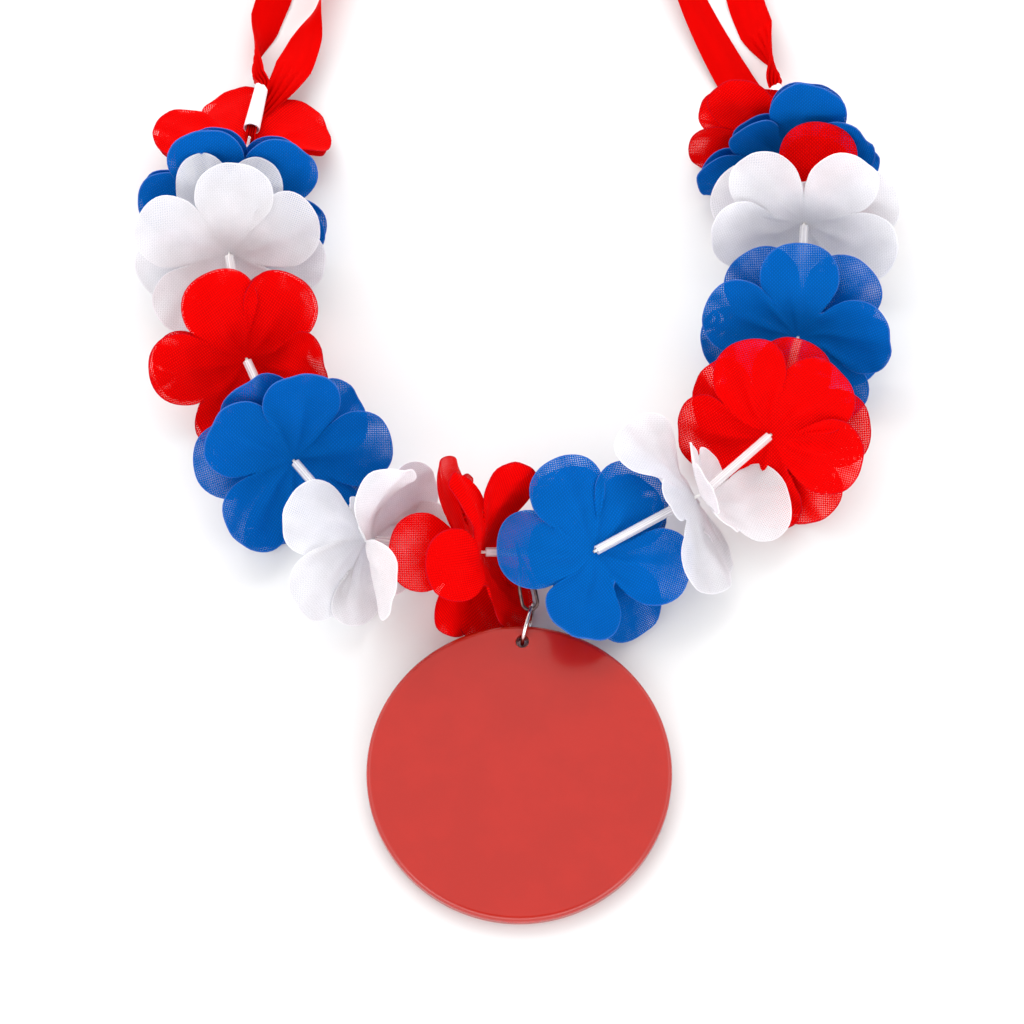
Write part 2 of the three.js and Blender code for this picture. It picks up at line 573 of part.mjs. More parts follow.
// Stations round the neck, from the left sleeve to the right one.
const EDGE_HEIGHT = RIBBON_WIDTH / 2 + 0.4; // middle of the ribbon where it stands on edge
const station = (x, y, z, turn, width = RIBBON_WIDTH) => ({ at: V(x, y, z), turn, width });
const outerRun = [
  station(-69.3, 194.5, 7.6, 25, 5.5), station(-70.4, 202.5, 5.6, 85),
  station(-68.4, 212, 4.2, 135), station(-65.8, 221, 3.6, 145), station(-57, 246, 4.4, 115),
  station(-46, 274, EDGE_HEIGHT, 90), station(-32, 305, EDGE_HEIGHT, 90),
  station(-14, 332, EDGE_HEIGHT, 90), station(5, 341, EDGE_HEIGHT, 90),
  station(25, 331, EDGE_HEIGHT, 90), station(40, 304, EDGE_HEIGHT, 90),
  station(51, 272, EDGE_HEIGHT, 90), station(57, 243, 4.4, 125), station(61.2, 220.6, 2.4, 160),
  station(64, 211, 2.6, 150), station(67.9, 199.5, 5.2, 80, 7),
];
const innerRun = [
  station(-68.9, 180.5, 9.85, 0, 3), station(-66.2, 185.5, 8.6, 0, 4.6),
  station(-63.3, 191, 7.6, 0, 7.5), station(-60.2, 198, 5.8, 0), station(-57.2, 207, 4.4, 25),
  station(-54.2, 217, EDGE_HEIGHT, 75), station(-48, 234, EDGE_HEIGHT, 90),
  station(-37, 260, EDGE_HEIGHT, 90), station(-24, 288, EDGE_HEIGHT, 90),
  station(-9, 311, EDGE_HEIGHT, 90), station(3, 317, EDGE_HEIGHT, 90),
  station(15, 310, EDGE_HEIGHT, 90), station(26, 286, EDGE_HEIGHT, 90),
  station(35, 260, EDGE_HEIGHT, 85), station(41, 240, 4, 55), station(47.1, 220, 2.6, 30),
  station(57.4, 197.5, 1.4, 0), station(61.8, 190, 1.8, 0), station(65.4, 185.4, 3.6, 0, 6.5),
];

// The direction across the ribbon at each station of a run. Its edge that faces the neck on the
// flat stays the one that faces it all the way round.
function withSides(run, sense) {
  return run.map((here, i) => {
    const before = run[max(i - 1, 0)].at;
    const after = run[min(i + 1, run.length - 1)].at;
    const ahead = after.clone().sub(before).setZ(0).normalize();
    const level = V(0, 0, sense).cross(ahead);
    const turn = degrees(here.turn);
    return { ...here, side: level.multiplyScalar(cos(turn)).add(V(0, 0, sin(turn))) };
  });
}

const RIBBON_STEP = 7; // longest straight piece of the ribbon
const CLEAR_OF_SURFACE = 0.05;

function ribbonGeometry() {
  const stations = [
    ...sleeveStations(leftSleeve),
    ...withSides(innerRun, -1),
    ...sleeveStations(rightSleeve).reverse().map((here) => ({ ...here, side: here.side.clone().negate() })),
    ...withSides([...outerRun].reverse(), 1),
  ];
  const count = stations.length;
  const corners = [];
  let rings = 0;
  for (let i = 0; i < count; i += 1) {
    const [a, b, c, d] = [-1, 0, 1, 2].map((shift) => stations[(i + shift + count) % count]);
    const span = new THREE.CatmullRomCurve3([a.at, b.at, c.at, d.at], false, 'centripetal');
    const steps = max(1, Math.ceil(b.at.distanceTo(c.at) / RIBBON_STEP));
    for (let j = 0; j < steps; j += 1) {
      const share = j / steps;
      const place = span.getPoint((1 + share) / 3);
      const ahead = span.getTangent((1 + share) / 3);
      const side = b.side.clone().lerp(c.side, share);
      side.addScaledVector(ahead, -side.dot(ahead)).normalize();
      const face = side.clone().cross(ahead).normalize();
      const halfWidth = THREE.MathUtils.lerp(b.width, c.width, share) / 2;
      const reach = halfWidth * Math.abs(side.z) + (RIBBON_THICKNESS / 2) * Math.abs(face.z);
      place.z = max(place.z, reach + CLEAR_OF_SURFACE);
      for (const [across, through] of [[-1, -1], [1, -1], [1, 1], [-1, 1]]) {
        corners.push(place.clone().addScaledVector(side, across * halfWidth)
          .addScaledVector(face, (through * RIBBON_THICKNESS) / 2));
      }
      rings += 1;
    }
  }
  return closedGeometry(corners, bands(rings, 4, true));
}

add('ribbon', ribbonGeometry(), 'ribbon', 'satin');

// ---- Place on the surface -----------------------------------------------------------------

const extent = new THREE.Box3().setFromObject(lei, true);
const midpoint = extent.getCenter(V(0, 0, 0));
lei.position.set(-midpoint.x, -midpoint.y, -extent.min.z);

export default lei;
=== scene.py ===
"""A fabric flower lei necklace: the finished look of its flowers, tubes, ribbon and medallion.

The lei lies flat. Its places are in millimetres about the medallion's centre, with +Y towards the
neck band, and place() turns them into metres in the frame.
"""

from math import ceil, cos, pi, radians, sin, sqrt

import bmesh
import bpy
import numpy as np
from bpy.props import FloatProperty, FloatVectorProperty, IntProperty, PointerProperty
from bpy.types import Operator, Panel, PropertyGroup
from mathutils import Matrix, Vector, noise


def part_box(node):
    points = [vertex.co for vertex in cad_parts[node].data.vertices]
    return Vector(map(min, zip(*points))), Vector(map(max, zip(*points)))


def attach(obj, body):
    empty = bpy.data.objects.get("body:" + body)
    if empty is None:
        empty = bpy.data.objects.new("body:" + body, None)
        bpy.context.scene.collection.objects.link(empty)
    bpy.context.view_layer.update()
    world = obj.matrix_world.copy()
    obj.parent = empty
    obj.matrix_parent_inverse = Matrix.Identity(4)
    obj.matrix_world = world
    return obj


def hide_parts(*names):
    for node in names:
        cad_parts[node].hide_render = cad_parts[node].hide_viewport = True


bl_info = {
    "name": "Fabric Flower Lei",
    "version": (1, 0, 0),
    "blender": (4, 5, 0),
    "location": "3D View > Sidebar > Lei",
    "description": "Dresses the frame of a fabric flower lei with ribbon and medallion",
    "category": "Add Mesh",
}

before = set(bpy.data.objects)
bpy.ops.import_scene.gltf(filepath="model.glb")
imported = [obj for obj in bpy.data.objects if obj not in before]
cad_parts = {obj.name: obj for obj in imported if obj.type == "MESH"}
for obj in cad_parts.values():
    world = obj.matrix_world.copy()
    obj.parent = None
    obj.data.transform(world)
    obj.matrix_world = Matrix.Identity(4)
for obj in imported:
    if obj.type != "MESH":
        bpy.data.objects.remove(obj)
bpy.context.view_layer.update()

# ---- Sizes repeated from the construction, in millimetres -----------------------------------

MM = 0.001
PETALS = 5
PETAL_LENGTH = 25.5
HUB_RADIUS = 7.0
EYE_RADIUS = 0.55  # drawn up round the cord
SLIT_OPENING = 1.8
LAYER_OFFSET = 0.75
FLOOR_CLEARANCE = 0.45
FLOOR_STEP = 0.8
FLOOR_BEND = 5.0
FULL_CURL = 1.6  # a petal has its whole curl at 1 / 1.6 of its length
LEAST_LEVEL = 0.05

SPACER_GAP = 0.1
SEATED_RISE = 1.9  # the tubes' ends press up against the fabric
SHORTEST_SPACER = 4.0
CORD_RISE = 2.6
CLOSE_RISE = 0.4
FOLD_REACH = 1.9
FOLD_DROP = 2.9
KNOT = 0.9

MEDALLION_RADIUS = 38.0
MEDALLION_THICKNESS = 5.0
MEDALLION_TILT = radians(3)
HOLE_RADIUS = 1.65
HOLE_INSET = 4.3
HOLE_SHIFT = 0.8

RING_RADIUS = 5.5
RING_YAW = radians(-15)
RING_CUT = radians(60)
RING_GAP = radians(3)
LINK_HALF_WIDTH = 1.95
LINK_FOOT_OUT = 3.4
LINK_FOOT_UP = 1.8
LINK_CARRIER_SHARE = 0.3  # how far from one flower to the next the link's head is
LINK_TWIST_FROM = 2.0  # up from its foot
LINK_TWIST_SHORT = 2.5  # of its head

RIBBON_WIDTH = 10.0
GATHERED = 2.5
EDGE_HEIGHT = RIBBON_WIDTH / 2 + 0.4
RIBBON_CLEARANCE = 0.35

GARLAND = "garland"
MEDALLION = "medallion"

# The frame stands centred on the surface; the medallion's box says where its own centre is.
medallion_low, medallion_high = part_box("medallion")
LIFT = MEDALLION_THICKNESS / 2 * cos(MEDALLION_TILT) + MEDALLION_RADIUS * sin(MEDALLION_TILT)
ORIGIN = (medallion_low + medallion_high) / 2 - Vector((0, 0, LIFT * MM))


def place(point):
    """A place in the lei's own millimetres as metres in the frame."""
    return ORIGIN + Vector(point) * MM


# ---- The flowers, from the left end of the garland to the right one ---------------------------

# As seen by someone at the medallion's end who looks steeply down: a flower leans from that
# direction towards an angle, and its petals are counted anticlockwise. A layer has the angle of
# its first petal, the slope of its hub and the curl of its petals. Petal by petal it has a swing
# to one side, a further bend, a reach that is less than 1 where the petal is crushed, a twist
# about its own length, and a gather, the share of its width that is left where it is folded
# narrow. A flower has the depth of its pleats and the height of the waves along its rims, and
# "above" lifts one clear of the flower beneath it. Angles are in degrees.
DOWN, UP = 1, -1
FLOWERS = (
    {"colour": "red", "at": (-71.5, 169.6, 11.0), "lean": 47, "toward": 90, "faces": UP,
     "pleats": 0.7, "waves": 0.4, "layers": (
         {"turn": 28, "hub": 10, "curl": 0, "swing": (12, 0, -5, 0, 0), "bend": (-28, -16, 0, 20, 20),
          "reach": (1, 1, 1, 0.3, 0.3), "twist": (22, -12, 0, 0, 0)},
         {"turn": 28, "hub": 10, "curl": 0, "swing": (12, 0, -5, 0, 0), "bend": (-28, -16, 0, 20, 20),
          "reach": (0.93, 0.93, 0.93, 0.3, 0.3), "twist": (22, -12, 0, 0, 0)})},
    {"colour": "blue", "at": (-74.0, 153.0, 16.0), "lean": 42, "toward": 270, "faces": DOWN,
     "pleats": 0.5, "waves": 0.3, "layers": (
         {"turn": 42, "hub": 8, "curl": 6, "swing": (0, 0, -15, 0, 0), "bend": (-20, -16, -16, 0, 0)},
         {"turn": 42, "hub": 4, "curl": 4, "swing": (4, -6, -10, 0, 0), "bend": (-18, -14, -14, 0, 0),
          "reach": (0.9, 0.9, 0.95, 1, 1)})},
    {"colour": "white", "at": (-75.0, 137.7, 17.0), "lean": 28, "toward": 270, "faces": DOWN,
     "pleats": 0.35, "waves": 0.4, "layers": (
         {"turn": 15, "hub": 8, "curl": 8, "swing": (15, -5, -5, 0, 0), "bend": (-35, -25, -20, 0, 0)},
         {"turn": 55, "hub": -2, "curl": -2, "swing": (18, -24, 0, 0, 0),
          "bend": (-12, -12, 0, 0, -10), "reach": (1.05, 1.1, 1, 1, 1), "gather": (0.6, 0.6, 1, 1, 1)})},
    {"colour": "red", "at": (-70.0, 108.6, 15.0), "lean": 26, "toward": 290, "faces": DOWN,
     "pleats": 0.5, "waves": 0.3, "layers": (
         {"turn": 52, "hub": 6, "curl": 6, "swing": (10, -14, -14, -14, 30),
          "bend": (-30, -34, -14, -14, 45)},
         {"turn": 52, "hub": 2, "curl": 2, "swing": (10, -14, -14, -14, 30),
          "bend": (-22, -26, -6, -6, 40), "reach": (0.93, 0.93, 0.93, 0.93, 0.3)})},
    {"colour": "blue", "at": (-57.4, 80.2, 15.0), "lean": 26, "toward": 315, "faces": DOWN,
     "pleats": 0.9, "waves": 0.3, "layers": (
         {"turn": 11, "hub": 6, "curl": 6, "swing": (0, 8, 0, 8, 0), "bend": (-5, 8, -5, 12, -55)},
         {"turn": 47, "hub": -4, "curl": -4, "swing": (-14, 8, -14, 12, -30),
          "bend": (-24, 18, -10, -26, -34)})},
    {"colour": "white", "at": (-38.0, 57.9, 16.0), "lean": 62, "toward": 0, "faces": DOWN,
     "pleats": 0.5, "waves": 0.4, "layers": (
         {"turn": 0, "hub": 20, "curl": 15, "swing": (0, -36, -34, 10, 0), "bend": (0, -12, 7, 19, 20),
          "reach": (1, 1, 1, 1, 0.5), "twist": (0, 0, -40, -40, 0)},
         {"turn": 0, "hub": -20, "curl": -20, "swing": (0, 0, 22, 16, -18),
          "bend": (40, 30, 10, 10, 45), "reach": (0.8, 0.3, 1, 1, 0.85),
          "twist": (0, 0, -15, 10, 20)})},
    {"colour": "red", "at": (-10.3, 54.7, 16.0), "lean": 70, "toward": 0, "faces": DOWN,
     "pleats": 0.5, "waves": 0.3, "layers": (
         {"turn": 0, "hub": 15, "curl": 10, "swing": (0, 20, -24, -38, 32),
          "bend": (0, 15, -50, -80, -12), "reach": (1, 1, 1, 0.95, 0.9), "twist": (0, -20, 0, 0, 0),
          "gather": (1, 1, 0.3, 1, 1)},
         {"turn": 36, "hub": -22, "curl": -15, "swing": (40, -18, 0, 18, -34),
          "bend": (37, 27, -18, 33, 72), "reach": (0.85, 1, 1, 0.85, 1),
          "twist": (10, 0, 0, 20, 30)})},
    {"colour": "blue", "at": (18.8, 55.2, 15.0), "lean": 18, "toward": 27, "faces": DOWN,
     "pleats": 0.8, "waves": 0.4, "layers": (
         {"turn": 48, "hub": 2, "curl": 0, "swing": (10, -8, -20, -16, 14),
          "bend": (0, 0, -15, 28, 30)},
         {"turn": 36, "hub": -5, "curl": -6, "swing": (14, 0, 0, 0, -28), "bend": (10, -13, 0, 0, 0),
          "reach": (0.92, 0.92, 0.55, 0.5, 1)})},
    {"colour": "white", "at": (45.1, 69.9, 16.0), "lean": 72, "toward": 27, "faces": DOWN,
     "pleats": 0.5, "waves": 0.5, "layers": (
         {"turn": 202, "hub": 20, "curl": 12, "swing": (0, 0, 0, 0, -10), "bend": (20, 0, 40, 0, -20),
          "reach": (0.5, 0.4, 1, 0.4, 0.4), "twist": (0, 0, 42, 0, 30)},
         {"turn": 194, "hub": -15, "curl": -10, "swing": (0, 24, -15, 0, -5),
          "bend": (0, 15, 20, 0, 10), "reach": (0.35, 1, 0.9, 0.4, 1), "twist": (0, 25, 0, 0, -50)})},
    {"colour": "red", "at": (64.2, 86.8, 16.0), "lean": 24, "toward": 212, "faces": UP,
     "pleats": 1.3, "waves": 0.4, "layers": (
         {"turn": 45, "hub": 6, "curl": 4, "swing": (-8, -16, -14, 0, 16),
          "bend": (-16, -15, -20, -40, -8)},
         {"turn": 9, "hub": -4, "curl": -4, "swing": (-4, -14, -8, 0, 0), "bend": (0, -5, -12, -45, 0),
          "reach": (1, 1, 1, 0.8, 1)})},
    {"colour": "blue", "at": (71.8, 114.6, 15.0), "lean": 24, "toward": 255, "faces": UP,
     "pleats": 0.8, "waves": 0.4, "layers": (
         {"turn": 17, "hub": 8, "curl": 4, "swing": (-16, 0, -4, 0, -6), "bend": (12, -30, -14, 0, -15)},
         {"turn": 53, "hub": -4, "curl": 0, "swing": (-12, 0, -12, 0, 0),
          "bend": (-8, -11, 0, -20, -25)})},
    {"colour": "white", "at": (74.2, 146.9, 16.0), "lean": 34, "toward": 265, "faces": UP,
     "pleats": 0.5, "waves": 0.3, "layers": (
         {"turn": 56, "hub": 12, "curl": 10, "swing": (-3, 3, -25, 0, 0), "bend": (-20, -30, -5, 0, -5),
          "gather": (0.85, 0.85, 1, 1, 1)},
         {"turn": 20, "hub": 2, "curl": 4, "swing": (0, 0, -10, 0, 0), "bend": (-4, -20, -10, 0, 0),
          "reach": (1, 0.3, 1, 1, 1)})},
    {"colour": "red", "at": (74.6, 150.7, 13.5), "lean": 34, "toward": 265, "faces": UP,
     "pleats": 0.3, "waves": 0.3, "layers": (
         {"turn": 7, "hub": -2, "curl": 0, "bend": (0, -20, 0, 0, 0), "reach": (0.6, 1, 0.5, 0.7, 0.7)},
         {"turn": 13, "hub": -8, "curl": -6, "swing": (0, -14, 0, 0, 0), "bend": (0, -18, 0, 0, 0),
          "reach": (0.6, 0.75, 0.5, 0.7, 0.7)})},
    {"colour": "blue", "at": (70.9, 167.4, 14.0), "lean": 50, "toward": 262, "faces": UP,
     "above": 1.6, "pleats": 0.5, "waves": 0.4, "layers": (
         {"turn": 70, "hub": 6, "curl": 6, "swing": (4, -10, -14, 0, 40), "bend": (-25, 4, 0, 0, 2),
          "reach": (1, 0.6, 1, 1, 1), "twist": (0, 0, -15, 0, 0)},
         {"turn": 70, "hub": 1, "curl": 2, "swing": (4, -10, -14, 0, -28), "bend": (-16, 8, 4, 0, -16),
          "reach": (0.93, 0.55, 0.93, 1, 1), "twist": (0, 0, -15, 0, 0)})},
    {"colour": "red", "at": (69.0, 171.0, 12.0), "lean": 54, "toward": 250, "faces": UP,
     "pleats": 0.6, "waves": 0.3, "layers": (
         {"turn": 49, "hub": -4, "curl": -2, "swing": (0, 9, 5, 0, 0), "bend": (0, 0, 16, 0, 0),
          "reach": (0.25, 0.95, 1, 0.4, 0.4)},
         {"turn": 18, "hub": -10, "curl": -8, "swing": (0, 22, 0, 0, 0), "bend": (0, 4, 10, 0, 0),
          "reach": (0.3, 0.6, 0.92, 0.8, 0.4)})},
)
SIDES = ("front", "back")

SHOWN_FROM = radians(68)
TO_SHOW = Vector((0, -cos(SHOWN_FROM), sin(SHOWN_FROM)))
SHOW_RIGHT = Vector((1, 0, 0))
SHOW_UP = Vector((0, sin(SHOWN_FROM), cos(SHOWN_FROM)))


def flower_frame(flower):
    """The flower's centre and its three directions: out of its face, across and along."""
    lean, toward = radians(flower["lean"]), radians(flower["toward"])
    normal = TO_SHOW * cos(lean) + (SHOW_RIGHT * cos(toward) + SHOW_UP * sin(toward)) * sin(lean)
    swing = TO_SHOW.rotation_difference(normal)
    return Vector(flower["at"]), normal, swing @ SHOW_RIGHT, swing @ SHOW_UP


def cord_ends(index, most=CORD_RISE):
    """Where the cord turns just before and just after a flower."""
    centre, normal = flower_frame(FLOWERS[index])[:2]

    def rise(neighbour):
        apart = CORD_RISE / CLOSE_RISE
        if 0 <= neighbour < len(FLOWERS):
            apart = (Vector(FLOWERS[neighbour]["at"]) - centre).length
        return FLOWERS[index]["faces"] * min(most, CLOSE_RISE * apart)

    return centre - normal * rise(index - 1), centre + normal * rise(index + 1)


# ---- Settings a user would change -------------------------------------------------------------


def length(name, default, least, description):
    """A length, given in millimetres and kept in metres."""
    return FloatProperty(name=name, description=description, default=default * MM,
                         min=least * MM, unit="LENGTH")


def dye(name, default, description):
    """A colour."""
    return FloatVectorProperty(name=name, description=description, default=default,
                               min=0, max=1, subtype="COLOR")


def opening(name, default, description):
    """A share of the weave that is left open."""
    return FloatProperty(name=name, description=description, default=default,
                         min=0.0, max=0.9, subtype="FACTOR")


class FlowerSettings(PropertyGroup):
    """Cut and colours of the fabric flowers."""

    thickness: length("Fabric Thickness", 0.22, 0.05, "Thickness of a fabric layer")
    petal_width: length("Petal Width", 20.4, 10, "Greatest width of a petal")
    thread_pitch: length("Thread Pitch", 0.46, 0.1, "From one thread of the weave to the next")
    heart_opening: opening("Heart Opening", 0.12, "Gaps in the weave near a flower's middle")
    tip_opening: opening("Tip Opening", 0.34, "Gaps in the weave near the petals' tips")
    red: dye("Red", (0.85, 0.0006, 0.0004), "Dye of the red flowers")
    blue: dye("Blue", (0.0005, 0.135, 0.52), "Dye of the blue flowers")
    white: dye("White", (0.86, 0.855, 0.875), "Colour of the white flowers")


class TubeSettings(PropertyGroup):
    """The plastic tubes on the cord, and the cord."""

    spacer_radius: length("Spacer Radius", 1.2, 0.5, "Outer radius of the spacers")
    spacer_bore: length("Spacer Bore", 0.85, 0.3, "Inner radius of the spacers")
    sleeve_radius: length("Sleeve Radius", 2.1, 0.5, "Outer radius of the two end sleeves")
    sleeve_bore: length("Sleeve Bore", 1.8, 0.5, "Inner radius of the two end sleeves")
    strand_radius: length("Strand Radius", 0.2, 0.05, "Radius of each strand of the cord")
    strand_pitch: length("Strand Pitch", 2.4, 0.5, "Cord in which its strands turn once")


class MedallionSettings(PropertyGroup):
    """The medallion and the metal that it hangs from."""

    edge: length("Edge Radius", 1.4, 0.2, "Rounding of the medallion's edge")
    colour: dye("Colour", (0.375, 0.009, 0.0027), "Lacquer of the medallion")
    ring_wire: length("Ring Wire", 0.5, 0.1, "Radius of the jump ring's wire")
    link_wire: length("Link Wire", 0.45, 0.1, "Radius of the link's wire")


class RibbonSettings(PropertyGroup):
    """The satin neck band."""

    thickness: length("Thickness", 0.25, 0.05, "Thickness of the ribbon")
    folds: IntProperty(name="Gathers", description="Folds across the ribbon where it is gathered",
                       default=4, min=1, max=12)
    colour: dye("Colour", (0.68, 0.001, 0.0006), "Dye of the ribbon")


class StageSettings(PropertyGroup):
    """The pale table, the light and the camera."""

    sky: FloatProperty(name="Sky", description="Brightness of the studio's white ceiling",
                       default=1.0, min=0)
    key: FloatProperty(name="Key Light", description="Power of the large lamp overhead",
                       default=11.5, min=0, unit="POWER")
    distance: length("Camera Distance", 1000, 200, "From the middle of the view to the camera")


# ---- Nodes ------------------------------------------------------------------------------------


class NodeMaker:
    """Adds nodes to a tree and wires them up, one call for each node."""

    def __init__(self, tree):
        self.tree = tree

    def add(self, kind, values=None, **settings):
        node = self.tree.nodes.new(kind)
        for name, value in settings.items():
            setattr(node, name, value)
        for name, value in (values or {}).items():
            self.feed(node, name, value)
        return node

    def feed(self, node, name, value):
        socket = node.inputs[name]
        if isinstance(value, bpy.types.NodeSocket):
            self.tree.links.new(value, socket)
        else:
            socket.default_value = value

    def math(self, operation, first, second=0.0, third=0.0, clamp=False):
        values = {0: first, 1: second}
        if operation == "MULTIPLY_ADD":
            values[2] = third
        return self.add("ShaderNodeMath", values, operation=operation, use_clamp=clamp).outputs[0]

    def product(self, first, *others):
        for other in others:
            first = self.math("MULTIPLY", first, other)
        return first

    def vector(self, operation, first, second=(0, 0, 0)):
        node = self.add("ShaderNodeVectorMath", {0: first, 1: second}, operation=operation)
        return node.outputs["Value" if operation == "LENGTH" else "Vector"]

    def scaled(self, vector, scale):
        node = self.add("ShaderNodeVectorMath", {0: vector, "Scale": scale}, operation="SCALE")
        return node.outputs["Vector"]

    def split(self, vector):
        return self.add("ShaderNodeSeparateXYZ", {0: vector}).outputs

    def ramp(self, value, low, high, to_low=0.0, to_high=1.0):
        return self.add("ShaderNodeMapRange", {
            "Value": value, "From Min": low, "From Max": high, "To Min": to_low, "To Max": to_high,
        }, interpolation_type="SMOOTHSTEP").outputs["Result"]

    def fall(self, value, low, high, most=1.0):
        return self.ramp(value, low, high, most, 0.0)

    def mix_colours(self, share, first, second):
        node = self.add("ShaderNodeMix", {0: share, 6: first, 7: second}, data_type="RGBA")
        return node.outputs[2]

    def noise(self, place, scale, detail, roughness=0.5):
        return self.add("ShaderNodeTexNoise", {
            "Vector": place, "Scale": scale, "Detail": detail, "Roughness": roughness,
        }).outputs["Fac"]

    def attribute(self, name):
        return self.add("ShaderNodeAttribute", attribute_name=name).outputs["Fac"]

    def object_place(self):
        return self.add("ShaderNodeTexCoord").outputs["Object"]

    def cloth_place(self):
        """Place on the flat cloth, in millimetres."""
        return self.scaled(self.add("ShaderNodeUVMap", uv_map="Cloth").outputs[0], CLOTH_UNIT)

    def bump(self, height, strength, distance):
        return self.add("ShaderNodeBump", {
            "Strength": strength, "Distance": distance * MM, "Height": height}).outputs[0]

    def show(self, surface):
        self.add("ShaderNodeOutputMaterial", {"Surface": surface})

    def shader(self, kind, values=None):
        return self.add(f"ShaderNodeBsdf{kind}", values).outputs[0]

    def mix_shaders(self, share, first, second):
        return self.add("ShaderNodeMixShader", {0: share, 1: first, 2: second}).outputs[0]

    def named(self, name, form="FLOAT"):
        """A named attribute in Geometry Nodes."""
        return self.add("GeometryNodeInputNamedAttribute", {"Name": name}, data_type=form).outputs[0]

    def store(self, geometry, name, value):
        return self.add("GeometryNodeStoreNamedAttribute", {
            "Geometry": geometry, "Name": name, "Value": value},
            data_type="FLOAT", domain="POINT").outputs[0]


SOCKETS = {"float": "NodeSocketFloat", "vector": "NodeSocketVector", "integer": "NodeSocketInt",
           "geometry": "NodeSocketGeometry", "material": "NodeSocketMaterial"}


def new_group(name, kind, inputs, outputs):
    """A node group with named inputs and outputs: its maker, its inputs and its output node."""
    group = bpy.data.node_groups.new(name, kind)
    for socket, form, default in inputs:
        made = group.interface.new_socket(socket, in_out="INPUT", socket_type=SOCKETS[form])
        if default is not None:
            made.default_value = default
    for socket, form in outputs:
        group.interface.new_socket(socket, in_out="OUTPUT", socket_type=SOCKETS[form])
    maker = NodeMaker(group)
    return maker, maker.add("NodeGroupInput").outputs, maker.add("NodeGroupOutput")


def place_group(maker, name, values):
    """Puts the named shader group into a material."""
    return maker.add("ShaderNodeGroup", values, node_tree=bpy.data.node_groups[name]).outputs


def new_material(name):
    """An empty material and its maker."""
    material = bpy.data.materials.new(name)
    material.use_nodes = True
    material.node_tree.nodes.clear()
    return material, NodeMaker(material.node_tree)


def rgba(colour, share=1.0):
    return (*(share * part for part in colour), 1.0)


def grey(value):
    return rgba((value, value, value))


def build_weave_group():
    """Plain weave: crossed threads with an open gap between them, in units of the thread pitch."""
    make, given, result = new_group("Plain Weave", "ShaderNodeTree", (
        ("Cloth", "vector", (0, 0, 0)), ("Pitch", "float", 0.46), ("Opening", "float", 0.4),
        ("Softness", "float", 0.25),
    ), (("Cover", "float"), ("Tone", "float"), ("Height", "float")))
    across, along = make.split(
        make.scaled(given["Cloth"], make.math("DIVIDE", pi, given["Pitch"])))[:2]
    warp_wave, weft_wave = make.math("SINE", across), make.math("SINE", along)
    warp, weft = make.math("ABSOLUTE", warp_wave), make.math("ABSOLUTE", weft_wave)
    edge = make.math("SINE", make.product(given["Opening"], pi / 2))
    high = make.math("ADD", edge, given["Softness"])
    warp_cover, weft_cover = make.ramp(warp, edge, high), make.ramp(weft, edge, high)
    warp_top = make.ramp(make.product(warp_wave, weft_wave), -WEAVE_TURN, WEAVE_TURN)
    weft_top = make.math("SUBTRACT", 1.0, warp_top)
    make.feed(result, "Cover", make.math("MAXIMUM", warp_cover, weft_cover))
    make.feed(result, "Tone", make.product(warp_top, warp_cover))
    make.feed(result, "Height", make.math("MAXIMUM", make.product(warp, warp_top),
                                          make.product(weft, weft_top)))


def build_patches_group():
    """Soft patches that fill a surface, from 0 to 1, at a given size."""
    make, given, result = new_group("Soft Patches", "ShaderNodeTree", (
        ("Place", "vector", (0, 0, 0)), ("Size", "float", 10.0), ("Contrast", "float", 1.0),
    ), (("Value", "float"),))
    cloud = make.noise(given["Place"], make.math("DIVIDE", 1.0, given["Size"]), 3.0)
    centred = make.math("SUBTRACT", cloud, 0.5)
    make.feed(result, "Value",
              make.math("MULTIPLY_ADD", centred, given["Contrast"], 0.5, clamp=True))


def build_streaks_group():
    """Streaks that run the length of a drawn plastic tube, from its angle round the tube."""
    make, given, result = new_group("Drawn Streaks", "ShaderNodeTree", (
        ("Around", "float", 0.0), ("Along", "float", 0.0), ("Count", "float", 6.0),
    ), (("Value", "float"),))
    turn = make.product(given["Around"], 2 * pi)
    ring = make.add("ShaderNodeCombineXYZ", {
        "X": make.math("COSINE", turn), "Y": make.math("SINE", turn),
        "Z": make.product(given["Along"], STREAK_DRIFT)})
    make.feed(result, "Value", make.noise(ring.outputs[0], given["Count"], 2.0))


def build_grain_group():
    """Fine orange peel and faint rubbed marks of a lacquered or moulded surface."""
    make, given, result = new_group("Moulded Grain", "ShaderNodeTree", (
        ("Place", "vector", (0, 0, 0)), ("Grain Size", "float", 1.0),
        ("Mark Size", "float", 12.0),
    ), (("Height", "float"), ("Marks", "float")))
    fine = make.noise(given["Place"], make.math("DIVIDE", 1.0, given["Grain Size"]), 2.0)
    marks = make.noise(given["Place"], make.math("DIVIDE", 1.0, given["Mark Size"]), 4.0, 0.6)
    make.feed(result, "Height", fine)
    make.feed(result, "Marks", make.ramp(marks, 0.35, 0.65))


# Each fabric's dye along its sealed rims, how much light goes through it, how far its two sets of
# threads differ in tone, and its tips' gaps as a share of the setting.
FABRICS = {"red": ((0.35, 0.01, 0.03), 0.35, 0.3, 1.0),
           "blue": ((0.10, 0.22, 0.62), 0.35, 0.3, 1.0),
           "white": ((0.96, 0.95, 0.98), 0.5, 0.06, 0.8)}
OPENS_FROM, OPENS_TO = 12.0, 23.0  # out along a petal
SEAL_FROM, SEAL_TO = 0.1, 0.45  # in from its rim
FABRIC_PATCH = 9.0
WEAVE_TURN = 0.15  # how sharply one thread gives way to the other
STREAK_DRIFT = 0.02


